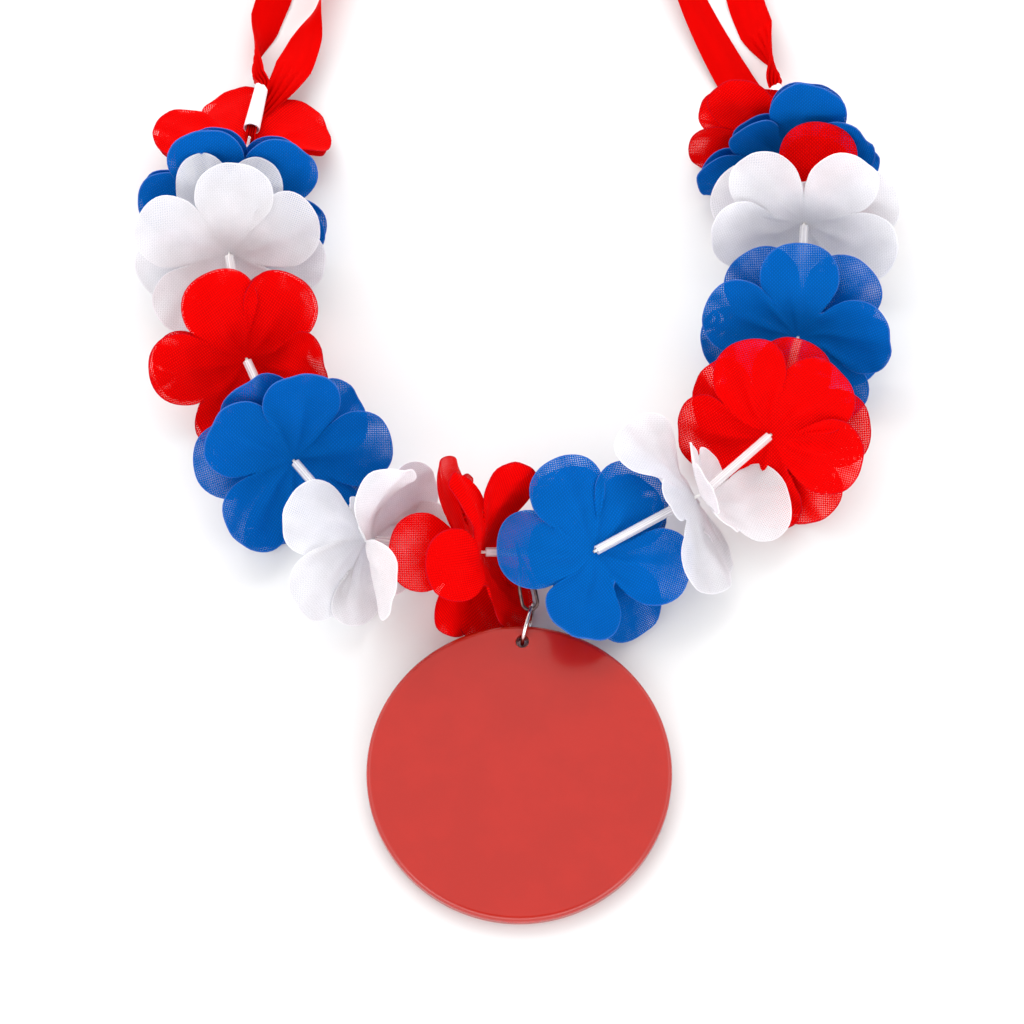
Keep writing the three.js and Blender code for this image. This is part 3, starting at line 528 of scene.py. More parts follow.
def fabric_material(colour):
    """Sheer woven fabric: threads in two tones, gaps that open towards the tips, a sealed rim."""
    settings = bpy.context.scene.lei_flowers
    rim_colour, see_through, contrast, tips = FABRICS[colour]
    material, make = new_material(f"{colour.title()} Fabric")
    flat = make.cloth_place()
    patch = place_group(make, "Soft Patches", {
        "Place": flat, "Size": FABRIC_PATCH, "Contrast": 1.6})["Value"]
    sealed = make.fall(make.attribute("rim"), SEAL_FROM, SEAL_TO)
    out = make.ramp(make.vector("LENGTH", flat), OPENS_FROM, OPENS_TO,
                    settings.heart_opening, tips * settings.tip_opening)
    gap = make.product(out, make.ramp(patch, 0.2, 0.8, 0.55, 1.1),
                       make.math("SUBTRACT", 1.0, sealed))
    weave = place_group(make, "Plain Weave", {
        "Cloth": flat, "Pitch": settings.thread_pitch / MM, "Opening": gap})
    tone = make.math("MULTIPLY_ADD", weave["Tone"], contrast, 1 - contrast / 2)
    toned = make.scaled(getattr(settings, colour), tone)
    mottled = make.scaled(toned, make.ramp(patch, 0.1, 0.9, 0.94, 1.05))
    surface = make.mix_colours(make.product(sealed, 0.5), mottled, rgba(rim_colour))
    lit = make.shader("Principled", {
        "Base Color": surface, "Roughness": 0.6, "Specular IOR Level": 0.03,
        "Normal": make.bump(weave["Height"], 0.3, 0.1)})
    thin = make.mix_shaders(see_through, lit, make.shader("Translucent", {"Color": surface}))
    make.show(make.mix_shaders(weave["Cover"], make.shader("Transparent"), thin))
    return material


def tube_material(name, cover, roughness):
    """Milky drawn plastic, a little see-through, with streaks along it."""
    material, make = new_material(name)
    streak = place_group(make, "Drawn Streaks", {
        "Around": make.attribute("around"), "Along": make.attribute("along"),
        "Count": 2.6})["Value"]
    colour = make.mix_colours(make.ramp(streak, 0.3, 0.7), rgba((0.80, 0.77, 0.80)),
                              rgba((0.97, 0.95, 0.96)))
    make.show(make.shader("Principled", {
        "Base Color": colour, "Roughness": roughness, "Coat Weight": 0.3, "Coat Roughness": 0.1,
        "Alpha": make.ramp(streak, 0.3, 0.7, cover - 0.12, cover + 0.12),
        "Normal": make.bump(streak, 0.2, 0.05)}))
    return material


def cord_material():
    """Bright twisted thread."""
    material, make = new_material("Thread")
    patch = place_group(make, "Soft Patches", {
        "Place": make.object_place(), "Size": 0.4 * MM})["Value"]
    colour = make.mix_colours(patch, rgba((0.72, 0.70, 0.68)), rgba((0.9, 0.88, 0.86)))
    make.show(make.shader("Principled", {"Base Color": colour, "Roughness": 0.6}))
    return material


def grained(make, grain_size, mark_size):
    """The grain's height and its marks on a moulded or drawn surface; sizes in millimetres."""
    grain = place_group(make, "Moulded Grain", {
        "Place": make.object_place(), "Grain Size": grain_size * MM,
        "Mark Size": mark_size * MM})
    return grain["Height"], grain["Marks"]


def lacquer_material():
    """Deep red lacquer with a satin coat, faint grain and rubbing."""
    colour = bpy.context.scene.lei_medallion.colour
    material, make = new_material("Red Lacquer")
    height, marks = grained(make, 0.5, 14)
    make.show(make.shader("Principled", {
        "Base Color": make.mix_colours(marks, rgba(colour, 0.93), rgba(colour)),
        "Roughness": make.ramp(marks, 0.0, 1.0, 0.19, 0.23),
        "IOR": 1.56, "Normal": make.bump(height, 0.05, 0.02)}))
    return material


def metal_material(name, colour, dark, roughness):
    """Drawn wire with a slightly uneven polish."""
    material, make = new_material(name)
    _, marks = grained(make, 0.3, 2.5)
    make.show(make.shader("Principled", {
        "Base Color": make.mix_colours(marks, rgba(dark), rgba(colour)), "Metallic": 1.0,
        "Roughness": make.ramp(marks, 0.0, 1.0, roughness + 0.08, roughness)}))
    return material


RIB_PITCH = 0.35  # of the satin's cross ribs
RIBBON_PATCH = 9.0
EDGE_FROM, EDGE_TO = 0.1, 0.6  # in from the ribbon's woven edge


def satin_material():
    """Satin: fine cross ribs, a soft sheen and firmer woven edges."""
    dyed = bpy.context.scene.lei_ribbon.colour
    material, make = new_material("Ribbon Satin")
    flat = make.cloth_place()
    across, along = make.split(flat)[:2]
    rib = make.math("SINE", make.product(along, 2 * pi / RIB_PITCH))
    from_edge = make.math("SUBTRACT", RIBBON_WIDTH / 2, make.math("ABSOLUTE", across))
    edge = make.fall(from_edge, EDGE_FROM, EDGE_TO)
    patch = place_group(make, "Soft Patches", {
        "Place": make.vector("MULTIPLY", flat, (3.0, 0.5, 1.0)), "Size": RIBBON_PATCH,
        "Contrast": 1.4})["Value"]
    colour = make.mix_colours(patch, rgba(dyed, 0.86), rgba(dyed))
    edged = make.mix_colours(make.product(edge, 0.35), colour, rgba((0.55, 0.004, 0.004)))
    height = make.math("MULTIPLY_ADD", rib, 0.3, make.product(edge, 0.8))
    lit = make.shader("Principled", {
        "Base Color": edged, "Roughness": make.ramp(patch, 0, 1, 0.42, 0.5),
        "Specular IOR Level": 0.01, "Anisotropic": 0.5, "Normal": make.bump(height, 0.25, 0.08)})
    make.show(make.mix_shaders(0.15, lit, make.shader("Translucent", {"Color": edged})))
    return material


def table_material():
    """Matt white card."""
    material, make = new_material("White Card")
    patch = place_group(make, "Soft Patches", {"Place": make.object_place(), "Size": 0.2})["Value"]
    make.show(make.shader("Principled", {
        "Base Color": make.mix_colours(patch, grey(0.73), grey(0.75)), "Roughness": 0.9,
        "Specular IOR Level": 0.1}))
    return material


# ---- Meshes -----------------------------------------------------------------------------------

CLOTH_UNIT = 10.0  # millimetres of flat cloth to one unit of its UV map
CREASE = radians(50)
DOUBLE = 1e-7  # metres


def add_object(name, data):
    thing = bpy.data.objects.new(name, data)
    bpy.context.scene.collection.objects.link(thing)
    return thing


def new_object(name, points, faces, material):
    """A smooth object whose points are in the lei's own millimetres."""
    mesh = bpy.data.meshes.new(name)
    metres = np.asarray(points, float) * MM + np.array(ORIGIN)
    mesh.from_pydata(metres.tolist(), [], faces)
    mesh.materials.append(material)
    mesh.polygons.foreach_set("use_smooth", [True] * len(mesh.polygons))
    mesh.set_sharp_from_angle(angle=CREASE)
    mesh.update()
    return add_object(name, mesh)


def set_cloth_map(thing, flat):
    """Gives each corner its place on the flat cloth, in units of CLOTH_UNIT."""
    mesh = thing.data
    layer = mesh.uv_layers.new(name="Cloth")
    corners = np.empty(len(mesh.loops), int)
    mesh.loops.foreach_get("vertex_index", corners)
    layer.data.foreach_set("uv", (np.asarray(flat)[corners] / CLOTH_UNIT).ravel())


def set_attribute(mesh, name, values, form="FLOAT"):
    made = mesh.attributes.new(name, form, "POINT")
    made.data.foreach_set("vector" if form == "FLOAT_VECTOR" else "value",
                          np.asarray(values, float).ravel())


def grid_normals(grid, closed_columns, closed_rows=False):
    """Unit normals of a grid of points, rows by columns."""
    def slope(axis, closed):
        if closed:
            return np.roll(grid, -1, axis) - np.roll(grid, 1, axis)
        return np.gradient(grid, axis=axis)

    normals = np.cross(slope(0, closed_rows), slope(1, closed_columns))
    return normals / np.maximum(np.linalg.norm(normals, axis=2, keepdims=True), 1e-9)


def two_skins(grid, normals):
    """The points of a thin sheet's two skins, on either side of a grid."""
    return np.concatenate([(grid + normals).reshape(-1, 3), (grid - normals).reshape(-1, 3)])


def sheet_faces(rows, columns, closed_rows):
    """Faces of a thin closed sheet: two skins of rows by columns points, joined at their rims.

    The columns close on themselves in a flower's layer, and the rows do in the ribbon.
    """
    count = rows * columns
    faces = []
    across = columns - 1 if closed_rows else columns
    down = rows if closed_rows else rows - 1
    for row in range(down):
        for column in range(across):
            a = row * columns + column
            b = row * columns + (column + 1) % columns
            c = (row + 1) % rows * columns + (column + 1) % columns
            d = (row + 1) % rows * columns + column
            faces.append((a, d, c, b))
            faces.append((a + count, b + count, c + count, d + count))
            if closed_rows and column == 0:
                faces.append((a, a + count, d + count, d))
            if closed_rows and column == across - 1:
                faces.append((b, c, c + count, b + count))
            if not closed_rows and row == 0:
                faces.append((a, b, b + count, a + count))
            if not closed_rows and row == down - 1:
                faces.append((d, d + count, c + count, c))
    return faces


def smooth_step(low, high, value):
    share = np.clip((value - low) / (high - low), 0, 1)
    return share * share * (3 - 2 * share)


# ---- Petals -----------------------------------------------------------------------------------

PETAL_COLUMNS = 34
PETAL_ROWS = 30
HUB_ROWS = 6
WIDEST_AT = 16.2  # how far out a petal is widest
CAP_POWER = 2.25  # 2 is an ellipse, more is squarer
SLIT_END = HUB_RADIUS + SLIT_OPENING + 0.4
SLIT_REACH = HUB_RADIUS * cos(pi / PETALS)
FREE_WITHIN = 4.0  # past its slits a petal has its own outline
GATHERED_AT = 0.4  # a petal is drawn in by this share of its length

FLOWER_SEED, LAYER_SEED, PETAL_SEED = 7.0, 3.0, 2.4
PLEAT_COUNT = 10
PLEAT_WANDER = 0.5, 0.35
PLEAT_SHARPNESS = 0.25
PLEAT_FADE = 0.6  # share that is lost at the tips
PLEATS_FROM, PLEATS_TO = 1.5, 11.0
WAVES_FROM, WAVES_TO = 13.0, 25.0
WAVE_TURNS = 1.6, 3.1  # half waves from a petal's middle to either edge
WAVE_SHARE = 0.6
CREASE_SIZE = 7.0
CREASE_DEPTH = 0.55
CREASES_FROM, CREASES_TO = 6.0, 16.0


def petal_outline():
    """A petal's outline from slit to slit, evenly spaced: distance along and across."""
    half_width = bpy.context.scene.lei_flowers.petal_width / MM / 2
    fine = np.linspace(0, 1, 200)
    slit = SLIT_END * np.array([cos(pi / PETALS), sin(pi / PETALS)])
    widest = np.array([WIDEST_AT, half_width])
    reach = np.linalg.norm(widest - slit)
    leaving = slit / SLIT_END * reach
    arriving = np.array([reach, 0.0])
    t = fine[:, None]
    flank = ((2 * t**3 - 3 * t**2 + 1) * slit + (t**3 - 2 * t**2 + t) * leaving
             + (3 * t**2 - 2 * t**3) * widest + (t**3 - t**2) * arriving)
    turn = fine * pi / 2
    cap = np.stack([WIDEST_AT + (PETAL_LENGTH - WIDEST_AT) * np.sin(turn) ** (2 / CAP_POWER),
                    half_width * np.cos(turn) ** (2 / CAP_POWER)], axis=1)
    half = np.concatenate([flank, cap[1:]])
    whole = np.concatenate([half * (1, -1), half[::-1][1:]])
    lengths = np.concatenate([[0], np.cumsum(np.linalg.norm(np.diff(whole, axis=0), axis=1))])
    wanted = np.linspace(0, lengths[-1], PETAL_COLUMNS + 1)[:-1]
    return np.stack([np.interp(wanted, lengths, whole[:, axis]) for axis in (0, 1)], axis=1)


class LayerShape:
    """The middle surface of one fabric layer, worked out petal by petal."""

    def __init__(self, index, side):
        self.index = index
        self.flower = FLOWERS[index]
        self.layer = self.flower["layers"][side]
        self.seed = FLOWER_SEED * index + LAYER_SEED * side
        centre, self.normal, self.across, self.along = (
            np.array(part) for part in flower_frame(self.flower))
        self.floor = FLOOR_CLEARANCE + FLOOR_STEP * (side == 0) + self.flower.get("above", 0)
        self.middle = centre + self.normal * LAYER_OFFSET * (1 if side == 0 else -1)
        self.hub = radians(self.layer["hub"])
        self.outline = petal_outline()

    def per_petal(self, name, petal, default):
        return self.layer.get(name, (default,) * PETALS)[petal]

    def radial(self, angles):
        """Directions along the hub's cone at these angles."""
        level = (np.cos(angles)[:, None] * self.across + np.sin(angles)[:, None] * self.along)
        return level * cos(self.hub) + self.normal * sin(self.hub)

    def rim(self, petal):
        """The petal's own outline, shortened where it is crushed."""
        reach = self.per_petal("reach", petal, 1)
        rim = self.outline.copy()
        free = smooth_step(SLIT_END, SLIT_END + FREE_WITHIN, np.linalg.norm(rim, axis=1))
        rim[:, 0] += free * (SLIT_REACH + (rim[:, 0] - SLIT_REACH) * reach - rim[:, 0])
        rim[:, 1] *= 1 + free * (sqrt(reach) - 1)
        return rim

    def lie_on_floor(self, ahead, height):
        """Bends the directions of a petal that would dive into the floor along it instead."""
        steepest = -np.maximum(0, height - self.floor) / FLOOR_BEND
        level = np.maximum(np.hypot(ahead[:, 0], ahead[:, 1]), LEAST_LEVEL)
        stretch = np.sqrt(np.maximum(0, 1 - steepest**2)) / level
        lying = np.stack([ahead[:, 0] * stretch, ahead[:, 1] * stretch, steepest], axis=1)
        return np.where((ahead[:, 2] < steepest)[:, None], lying, ahead)

    def petal(self, petal):
        """Rows by columns of places on a petal, with their flat places and distance to the rim."""
        turn = radians(self.layer["turn"]) + 2 * pi * petal / PETALS
        heading = turn + radians(self.per_petal("swing", petal, 0))
        out = cos(heading) * self.across + sin(heading) * self.along
        side = -sin(heading) * self.across + cos(heading) * self.along
        curl = radians(self.layer["curl"] + self.per_petal("bend", petal, 0))
        twist = radians(self.per_petal("twist", petal, 0))
        gather = self.per_petal("gather", petal, 1)
        rim = self.rim(petal)
        local = np.arctan2(self.outline[:, 1], self.outline[:, 0])
        start = np.stack([HUB_RADIUS * np.cos(local), HUB_RADIUS * np.sin(local)], axis=1)
        radial = self.radial(turn + local)
        here = self.middle + radial * HUB_RADIUS
        places, flats = [], []
        for row in range(HUB_ROWS):
            radius = EYE_RADIUS + (HUB_RADIUS - EYE_RADIUS) * row / HUB_ROWS
            places.append(self.middle + radial * radius)
            flats.append(start * radius / HUB_RADIUS)
        places.append(here.copy())
        flats.append(start)
        step = (rim - start) / PETAL_ROWS
        for row in range(PETAL_ROWS):
            middle = start + step * (row + 0.5)
            progress = np.maximum(0, middle[:, 0] - SLIT_REACH) / (PETAL_LENGTH - SLIT_REACH)
            slope = self.hub + curl * np.minimum(1, FULL_CURL * progress)
            ahead = np.cos(slope)[:, None] * out + np.sin(slope)[:, None] * self.normal
            ahead = self.lie_on_floor(ahead, here[:, 2])
            here = here + ahead * step[:, :1]
            flat = start + step * (row + 1)
            outmost = np.clip((flat[:, 0] - SLIT_REACH) / (PETAL_LENGTH - SLIT_REACH), 0, 1)
            turned = (twist * outmost)[:, None]
            upright = np.cross(ahead, side)
            upright /= np.linalg.norm(upright, axis=1, keepdims=True)
            width = 1 + (gather - 1) * smooth_step(0, GATHERED_AT, outmost)[:, None]
            sideways = side * np.cos(turned) * (flat[:, 1:] - start[:, 1:]) * width
            places.append(here + sideways + upright * np.sin(turned) * flat[:, 1:] * width)
            flats.append(flat)
        places, flats = np.array(places), np.array(flats)
        places[..., 2] = np.maximum(places[..., 2], self.floor)
        to_rim = np.linalg.norm(rim, axis=1)[None, :] - np.linalg.norm(flats, axis=2)
        return places, flats, to_rim, turn

    def relief(self, petal, flats, turn):
        """How far each place stands proud of the smooth petal: its pleats and waves."""
        radius = np.linalg.norm(flats, axis=2)
        angle = np.arctan2(flats[..., 1], flats[..., 0]) + turn
        from_ridge = angle - radians(self.flower["layers"][0]["turn"])
        seed = FLOWER_SEED * self.index
        slow, quick = PLEAT_WANDER
        wander = slow * np.sin(2 * angle + seed) + quick * np.sin(3 * angle - seed)
        phase = PLEAT_COUNT * from_ridge + wander
        fold = np.cos(phase) + PLEAT_SHARPNESS * np.cos(2 * phase)
        outer = smooth_step(WAVES_FROM, WAVES_TO, radius)
        held = smooth_step(PLEATS_FROM, PLEATS_TO, radius) * (1 - PLEAT_FADE * outer)
        half_width = bpy.context.scene.lei_flowers.petal_width / MM / 2
        share = np.clip(flats[..., 1] / half_width, -1, 1)
        start = PETAL_SEED * petal + self.seed
        slow, quick = (turns * pi * share for turns in WAVE_TURNS)
        ripple = np.sin(slow + start) + WAVE_SHARE * np.sin(quick + 2 * start)
        return 0.5 * self.flower["pleats"] * fold * held + self.flower["waves"] * ripple * outer

    def grid(self):
        """Rows by columns of the whole layer, closed round the hub."""
        parts = [self.petal(petal) for petal in range(PETALS)]
        places, to_rim = (np.concatenate([part[which] for part in parts], axis=1)
                          for which in (0, 2))
        normals = grid_normals(places, closed_columns=True)
        if np.sum(normals * self.normal) < 0:
            normals = -normals
        relief, flats = [], []
        for petal, (_, flat, _, turn) in enumerate(parts):
            relief.append(self.relief(petal, flat, turn))
            flats.append(flat @ np.array([[cos(turn), sin(turn)], [-sin(turn), cos(turn)]]))
        flats = np.concatenate(flats, axis=1)
        creases = [[noise.noise(Vector((x / CREASE_SIZE, y / CREASE_SIZE, self.seed)))
                    for x, y in row] for row in flats]
        loose = smooth_step(CREASES_FROM, CREASES_TO, np.linalg.norm(flats, axis=2))
        relief = np.concatenate(relief, axis=1) + CREASE_DEPTH * np.array(creases) * loose
        return places + normals * relief[..., None], flats, to_rim


def make_layer(index, side, material):
    """One fabric layer of a flower as a thin closed sheet."""
    flower = FLOWERS[index]
    name = f"flower_{index + 1:02d}_{flower['colour']}_{SIDES[side]}"
    thickness = bpy.context.scene.lei_flowers.thickness / MM
    places, flats, to_rim = LayerShape(index, side).grid()
    places[..., 2] = np.maximum(places[..., 2], thickness)
    normals = grid_normals(places, closed_columns=True) * thickness / 2
    faces = sheet_faces(*places.shape[:2], False)
    thing = new_object(f"{name}_cloth", two_skins(places, normals), faces, material)
    set_cloth_map(thing, np.tile(flats.reshape(-1, 2), (2, 1)))
    set_attribute(thing.data, "rim", np.tile(to_rim.ravel(), 2))
    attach(thing, GARLAND)
    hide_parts(name)
    cut_area(flats) * MM * MM


def cut_area(flats):
    """Flat area of a grid of cloth, in square millimetres."""
    closed = np.concatenate([flats, flats[:, :1]], axis=1)
    first = closed[1:, 1:] - closed[:-1, :-1]
    second = closed[1:, :-1] - closed[:-1, 1:]
    return float(np.abs(first[..., 0] * second[..., 1] - first[..., 1] * second[..., 0]).sum() / 2)


# ---- Geometry Nodes ---------------------------------------------------------------------------


TUBE_BLANK = 0.5 * MM  # height of the ring that a tube is drawn from
LIP_STEPS = 4


def build_tubes_tree():
    """Stands a hollow tube with rounded lips on each point, along the point's own axis."""
    make, given, result = new_group("Cut Tubes", "GeometryNodeTree", (
        ("Geometry", "geometry", None), ("Outer Radius", "float", 0.0012),
        ("Bore Radius", "float", 0.0008), ("Lip", "float", 0.0001), ("Sides", "integer", 40),
        ("Material", "material", None),
    ), (("Geometry", "geometry"),))
    wall = make.math("SUBTRACT", given["Outer Radius"], given["Bore Radius"])
    round_path = make.add("GeometryNodeCurvePrimitiveCircle", {
        "Resolution": given["Sides"],
        "Radius": make.math("MULTIPLY_ADD", wall, 0.5, given["Bore Radius"])})
    around = make.store(round_path.outputs["Curve"], "around",
                        make.add("GeometryNodeSplineParameter").outputs["Factor"])
    section = make.add("GeometryNodeCurvePrimitiveQuadrilateral", {
        "Width": wall, "Height": TUBE_BLANK})
    lips = make.add("GeometryNodeFilletCurve", {
        "Curve": section.outputs[0], "Count": LIP_STEPS, "Radius": given["Lip"]}, mode="POLY")
    blank = make.add("GeometryNodeCurveToMesh", {
        "Curve": around, "Profile Curve": lips.outputs[0]})
    height = make.split(make.add("GeometryNodeInputPosition").outputs[0])["Z"]
    ends = make.store(blank.outputs[0], "end", make.math("SIGN", height))
    axis = make.named("axis", "FLOAT_VECTOR")
    upright = make.add("FunctionNodeAlignRotationToVector", {"Vector": axis}, axis="Z")
    stood = make.add("GeometryNodeInstanceOnPoints", {
        "Points": given["Geometry"], "Instance": ends, "Rotation": upright.outputs[0]})
    real = make.add("GeometryNodeRealizeInstances", {"Geometry": stood.outputs[0]})
    half = make.math("MULTIPLY_ADD", make.named("length"), 0.5, -TUBE_BLANK / 2)
    spread = make.product(make.named("end"), half)
    drawn = make.add("GeometryNodeSetPosition", {
        "Geometry": real.outputs[0], "Offset": make.scaled(axis, spread)})
    along = make.store(drawn.outputs[0], "along", spread)
    smooth = make.add("GeometryNodeSetShadeSmooth", {"Geometry": along})
    finished = make.add("GeometryNodeSetMaterial", {
        "Geometry": smooth.outputs[0], "Material": given["Material"]})
    make.feed(result, "Geometry", finished.outputs[0])


def build_wire_tree():
    """Lays strands of round wire or thread along a path, twisted about it if there are several."""
    make, given, result = new_group("Laid Strands", "GeometryNodeTree", (
        ("Geometry", "geometry", None), ("Strands", "integer", 1), ("Strand Radius", "float", 0.0005),
        ("Twist Radius", "float", 0.0), ("Pitch", "float", 0.002), ("Step", "float", 0.0004),
        ("Sides", "integer", 16), ("Material", "material", None),
    ), (("Geometry", "geometry"),))
    even = make.add("GeometryNodeResampleCurve", {
        "Curve": given["Geometry"], "Length": given["Step"]}, mode="LENGTH")
    copies = make.add("GeometryNodeDuplicateElements", {
        "Geometry": even.outputs[0], "Amount": given["Strands"]}, domain="SPLINE").outputs
    run = make.add("GeometryNodeSplineParameter").outputs["Length"]
    first = make.math("DIVIDE", copies["Duplicate Index"], given["Strands"])
    turns = make.math("ADD", make.math("DIVIDE", run, given["Pitch"]), first)
    angle = make.product(turns, 2 * pi)
    normal = make.add("GeometryNodeInputNormal").outputs[0]
    tangent = make.add("GeometryNodeInputTangent").outputs[0]
    other = make.vector("CROSS_PRODUCT", tangent, normal)
    aside = make.vector("ADD", make.scaled(normal, make.math("COSINE", angle)),
                        make.scaled(other, make.math("SINE", angle)))
    twisted = make.add("GeometryNodeSetPosition", {
        "Geometry": copies[0], "Offset": make.scaled(aside, given["Twist Radius"])})
    section = make.add("GeometryNodeCurvePrimitiveCircle", {
        "Resolution": given["Sides"], "Radius": given["Strand Radius"]})
    round_wire = make.add("GeometryNodeCurveToMesh", {
        "Curve": twisted.outputs[0], "Profile Curve": section.outputs[0], "Fill Caps": True})
    smooth = make.add("GeometryNodeSetShadeSmooth", {"Geometry": round_wire.outputs[0]})
    real = make.add("GeometryNodeRealizeInstances", {"Geometry": smooth.outputs[0]})
    finished = make.add("GeometryNodeSetMaterial", {
        "Geometry": real.outputs[0], "Material": given["Material"]})
    make.feed(result, "Geometry", finished.outputs[0])


def apply_tree(name, start, tree, values):
    """Runs a Geometry Nodes tree on a starting object and keeps only its plain mesh."""
    tree = bpy.data.node_groups[tree]
    modifier = start.modifiers.new("Nodes", "NODES")
    modifier.node_group = tree
    for item in tree.interface.items_tree:
        if item.item_type == "SOCKET" and item.in_out == "INPUT" and item.name in values:
            modifier[item.identifier] = values[item.name]
    graph = bpy.context.evaluated_depsgraph_get()
    mesh = bpy.data.meshes.new_from_object(start.evaluated_get(graph))
    mesh.name = name
    start.modifiers.remove(modifier)
    bpy.data.objects.remove(start)
    face_outwards(mesh)
    return add_object(name, mesh)


def face_outwards(mesh):
    """Merges doubles and turns every face of a closed mesh outwards."""
    solid = bmesh.new()
    solid.from_mesh(mesh)
    bmesh.ops.remove_doubles(solid, verts=solid.verts, dist=DOUBLE)
    bmesh.ops.recalc_face_normals(solid, faces=solid.faces)
    solid.to_mesh(mesh)
    solid.free()
    mesh.set_sharp_from_angle(angle=CREASE)


def tube_points(name, ends):
    """Points in the middle of tubes, each with its tube's axis and length, in metres."""
    mesh = bpy.data.meshes.new(name)
    mesh.from_pydata([place((start + end) / 2) for start, end in ends], [], [])
    axes = [(end - start).normalized() for start, end in ends]
    set_attribute(mesh, "axis", axes, "FLOAT_VECTOR")
    set_attribute(mesh, "length", [(end - start).length * MM for start, end in ends])
    return add_object(name, mesh)


def path_object(name, points, closed=False):
    """A polyline through points given in the lei's own millimetres."""
    curve = bpy.data.curves.new(name, "CURVE")
    curve.dimensions = "3D"
    spline = curve.splines.new("POLY")
    spline.points.add(len(points) - 1)
    for point, target in zip(points, spline.points):
        target.co = (*place(point), 1.0)
    spline.use_cyclic_u = closed
    return add_object(name, curve)


# ---- Sleeves, cord, ring and link as the construction lays them out -----------------------------


class Sleeve:
    """An end sleeve: its mouth towards the neck band, its foot towards the first flower."""

    def __init__(self, mouth, foot):
        self.mouth, self.foot = Vector(mouth), Vector(foot)
        self.inward = (self.foot - self.mouth).normalized()
        self.knot = self.foot + self.inward * (FOLD_REACH + KNOT)


SLEEVES = {"left": Sleeve((-68.3, 189.2, 10.5), (-70.4, 175.2, 14.0)),
           "right": Sleeve((68.4, 191.0, 7.0), (69.6, 179.0, 9.5))}
SLEEVE_SLANT = {"left": 0.8, "right": -0.5}
SLEEVE_ROWS, SLEEVE_COLUMNS = 18, 64
MOUTH_WIDE, FOOT_WIDE = 0.84, 1.04  # shares of the radius, across the sleeve and upwards
MOUTH_TALL, FOOT_TALL = 0.78, 1.0
RAGGED = ((0.14, 3, 1), (0.1, 7, 0), (0.06, 13, 2))  # depth, count and start of the cut's waves


def make_sleeve(side, material):
    """A cut plastic sleeve, narrower at its slanted, ragged mouth."""
    settings = bpy.context.scene.lei_tubes
    sleeve = SLEEVES[side]
    level = Vector((0, 0, 1)).cross(sleeve.inward).normalized()
    upright = level.cross(sleeve.inward)
    turns = 2 * pi * np.arange(SLEEVE_COLUMNS) / SLEEVE_COLUMNS
    start = SLEEVE_SLANT[side] * np.cos(turns) + sum(
        depth * np.sin(count * turns + first) for depth, count, first in RAGGED)
    length = (sleeve.foot - sleeve.mouth).length
    rows = []
    for radius in (settings.sleeve_radius / MM, settings.sleeve_bore / MM):
        for share in np.linspace(0, 1, SLEEVE_ROWS):
            reach = start + (length - start) * share
            wide = radius * (MOUTH_WIDE + (FOOT_WIDE - MOUTH_WIDE) * share)
            tall = radius * (MOUTH_TALL + (FOOT_TALL - MOUTH_TALL) * share)
            ring = np.outer(np.cos(turns) * wide, level) + np.outer(np.sin(turns) * tall, upright)
            rows.append(np.array(sleeve.mouth) + ring + np.outer(reach, sleeve.inward))
    faces = sheet_faces(SLEEVE_ROWS, SLEEVE_COLUMNS, False)
    thing = new_object(f"sleeve_{side}_cut", np.concatenate(rows), faces, material)
    set_attribute(thing.data, "around", np.tile(turns / (2 * pi), 2 * SLEEVE_ROWS))
    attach(thing, GARLAND)
    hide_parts(f"sleeve_{side}")


def spacer_ends():
    """The number and two ends of each spacer between neighbouring flowers."""
    for index in range(len(FLOWERS) - 1):
        start = cord_ends(index, SEATED_RISE)[1]
        end = cord_ends(index + 1, SEATED_RISE)[0]
        length = (end - start).length
        if length >= SHORTEST_SPACER + 2 * SPACER_GAP:
            share = SPACER_GAP / length
            yield index + 1, (start.lerp(end, share), end.lerp(start, share))


def cord_path():
    """The cord from knot to knot through every flower."""
    path = [SLEEVES["left"].knot]
    for index in range(len(FLOWERS)):
        path.extend(cord_ends(index, SEATED_RISE))
    return [*path, SLEEVES["right"].knot]


RING_STEPS = 120
BEND_STEPS, RUN_STEPS = 20, 24
WIRE_STEP = 0.25 * MM
RING_SIDES, LINK_SIDES = 24, 20
THREAD_STEP, THREAD_SIDES, STRANDS = 0.3 * MM, 8, 3
STRAND_NESTING = 0.95  # from the cord's middle to a strand's, as a share of its radius
SPACER_LIP = 0.08 * MM
SPACER_COVER, SLEEVE_COVER = 0.42, 0.86
SPACER_ROUGHNESS, SLEEVE_ROUGHNESS = 0.22, 0.3


def ring_frame():
    """The jump ring's centre, and the direction out from the medallion's middle to it."""
    hole_reach = MEDALLION_RADIUS - HOLE_INSET
    hole = Vector((HOLE_SHIFT, hole_reach * cos(MEDALLION_TILT),
                   LIFT + hole_reach * sin(MEDALLION_TILT)))
    out = Vector((-sin(RING_YAW), cos(RING_YAW), 0))
    return hole + out * RING_RADIUS, out


def ring_places():
    """Points round the jump ring, which is cut where it was bent open."""
    centre, out = ring_frame()
    turns = [RING_CUT + RING_GAP / 2 + (2 * pi - RING_GAP) * i / RING_STEPS
             for i in range(RING_STEPS + 1)]
    return [centre + (out * cos(turn) + Vector((0, 0, 1)) * sin(turn)) * RING_RADIUS
            for turn in turns]


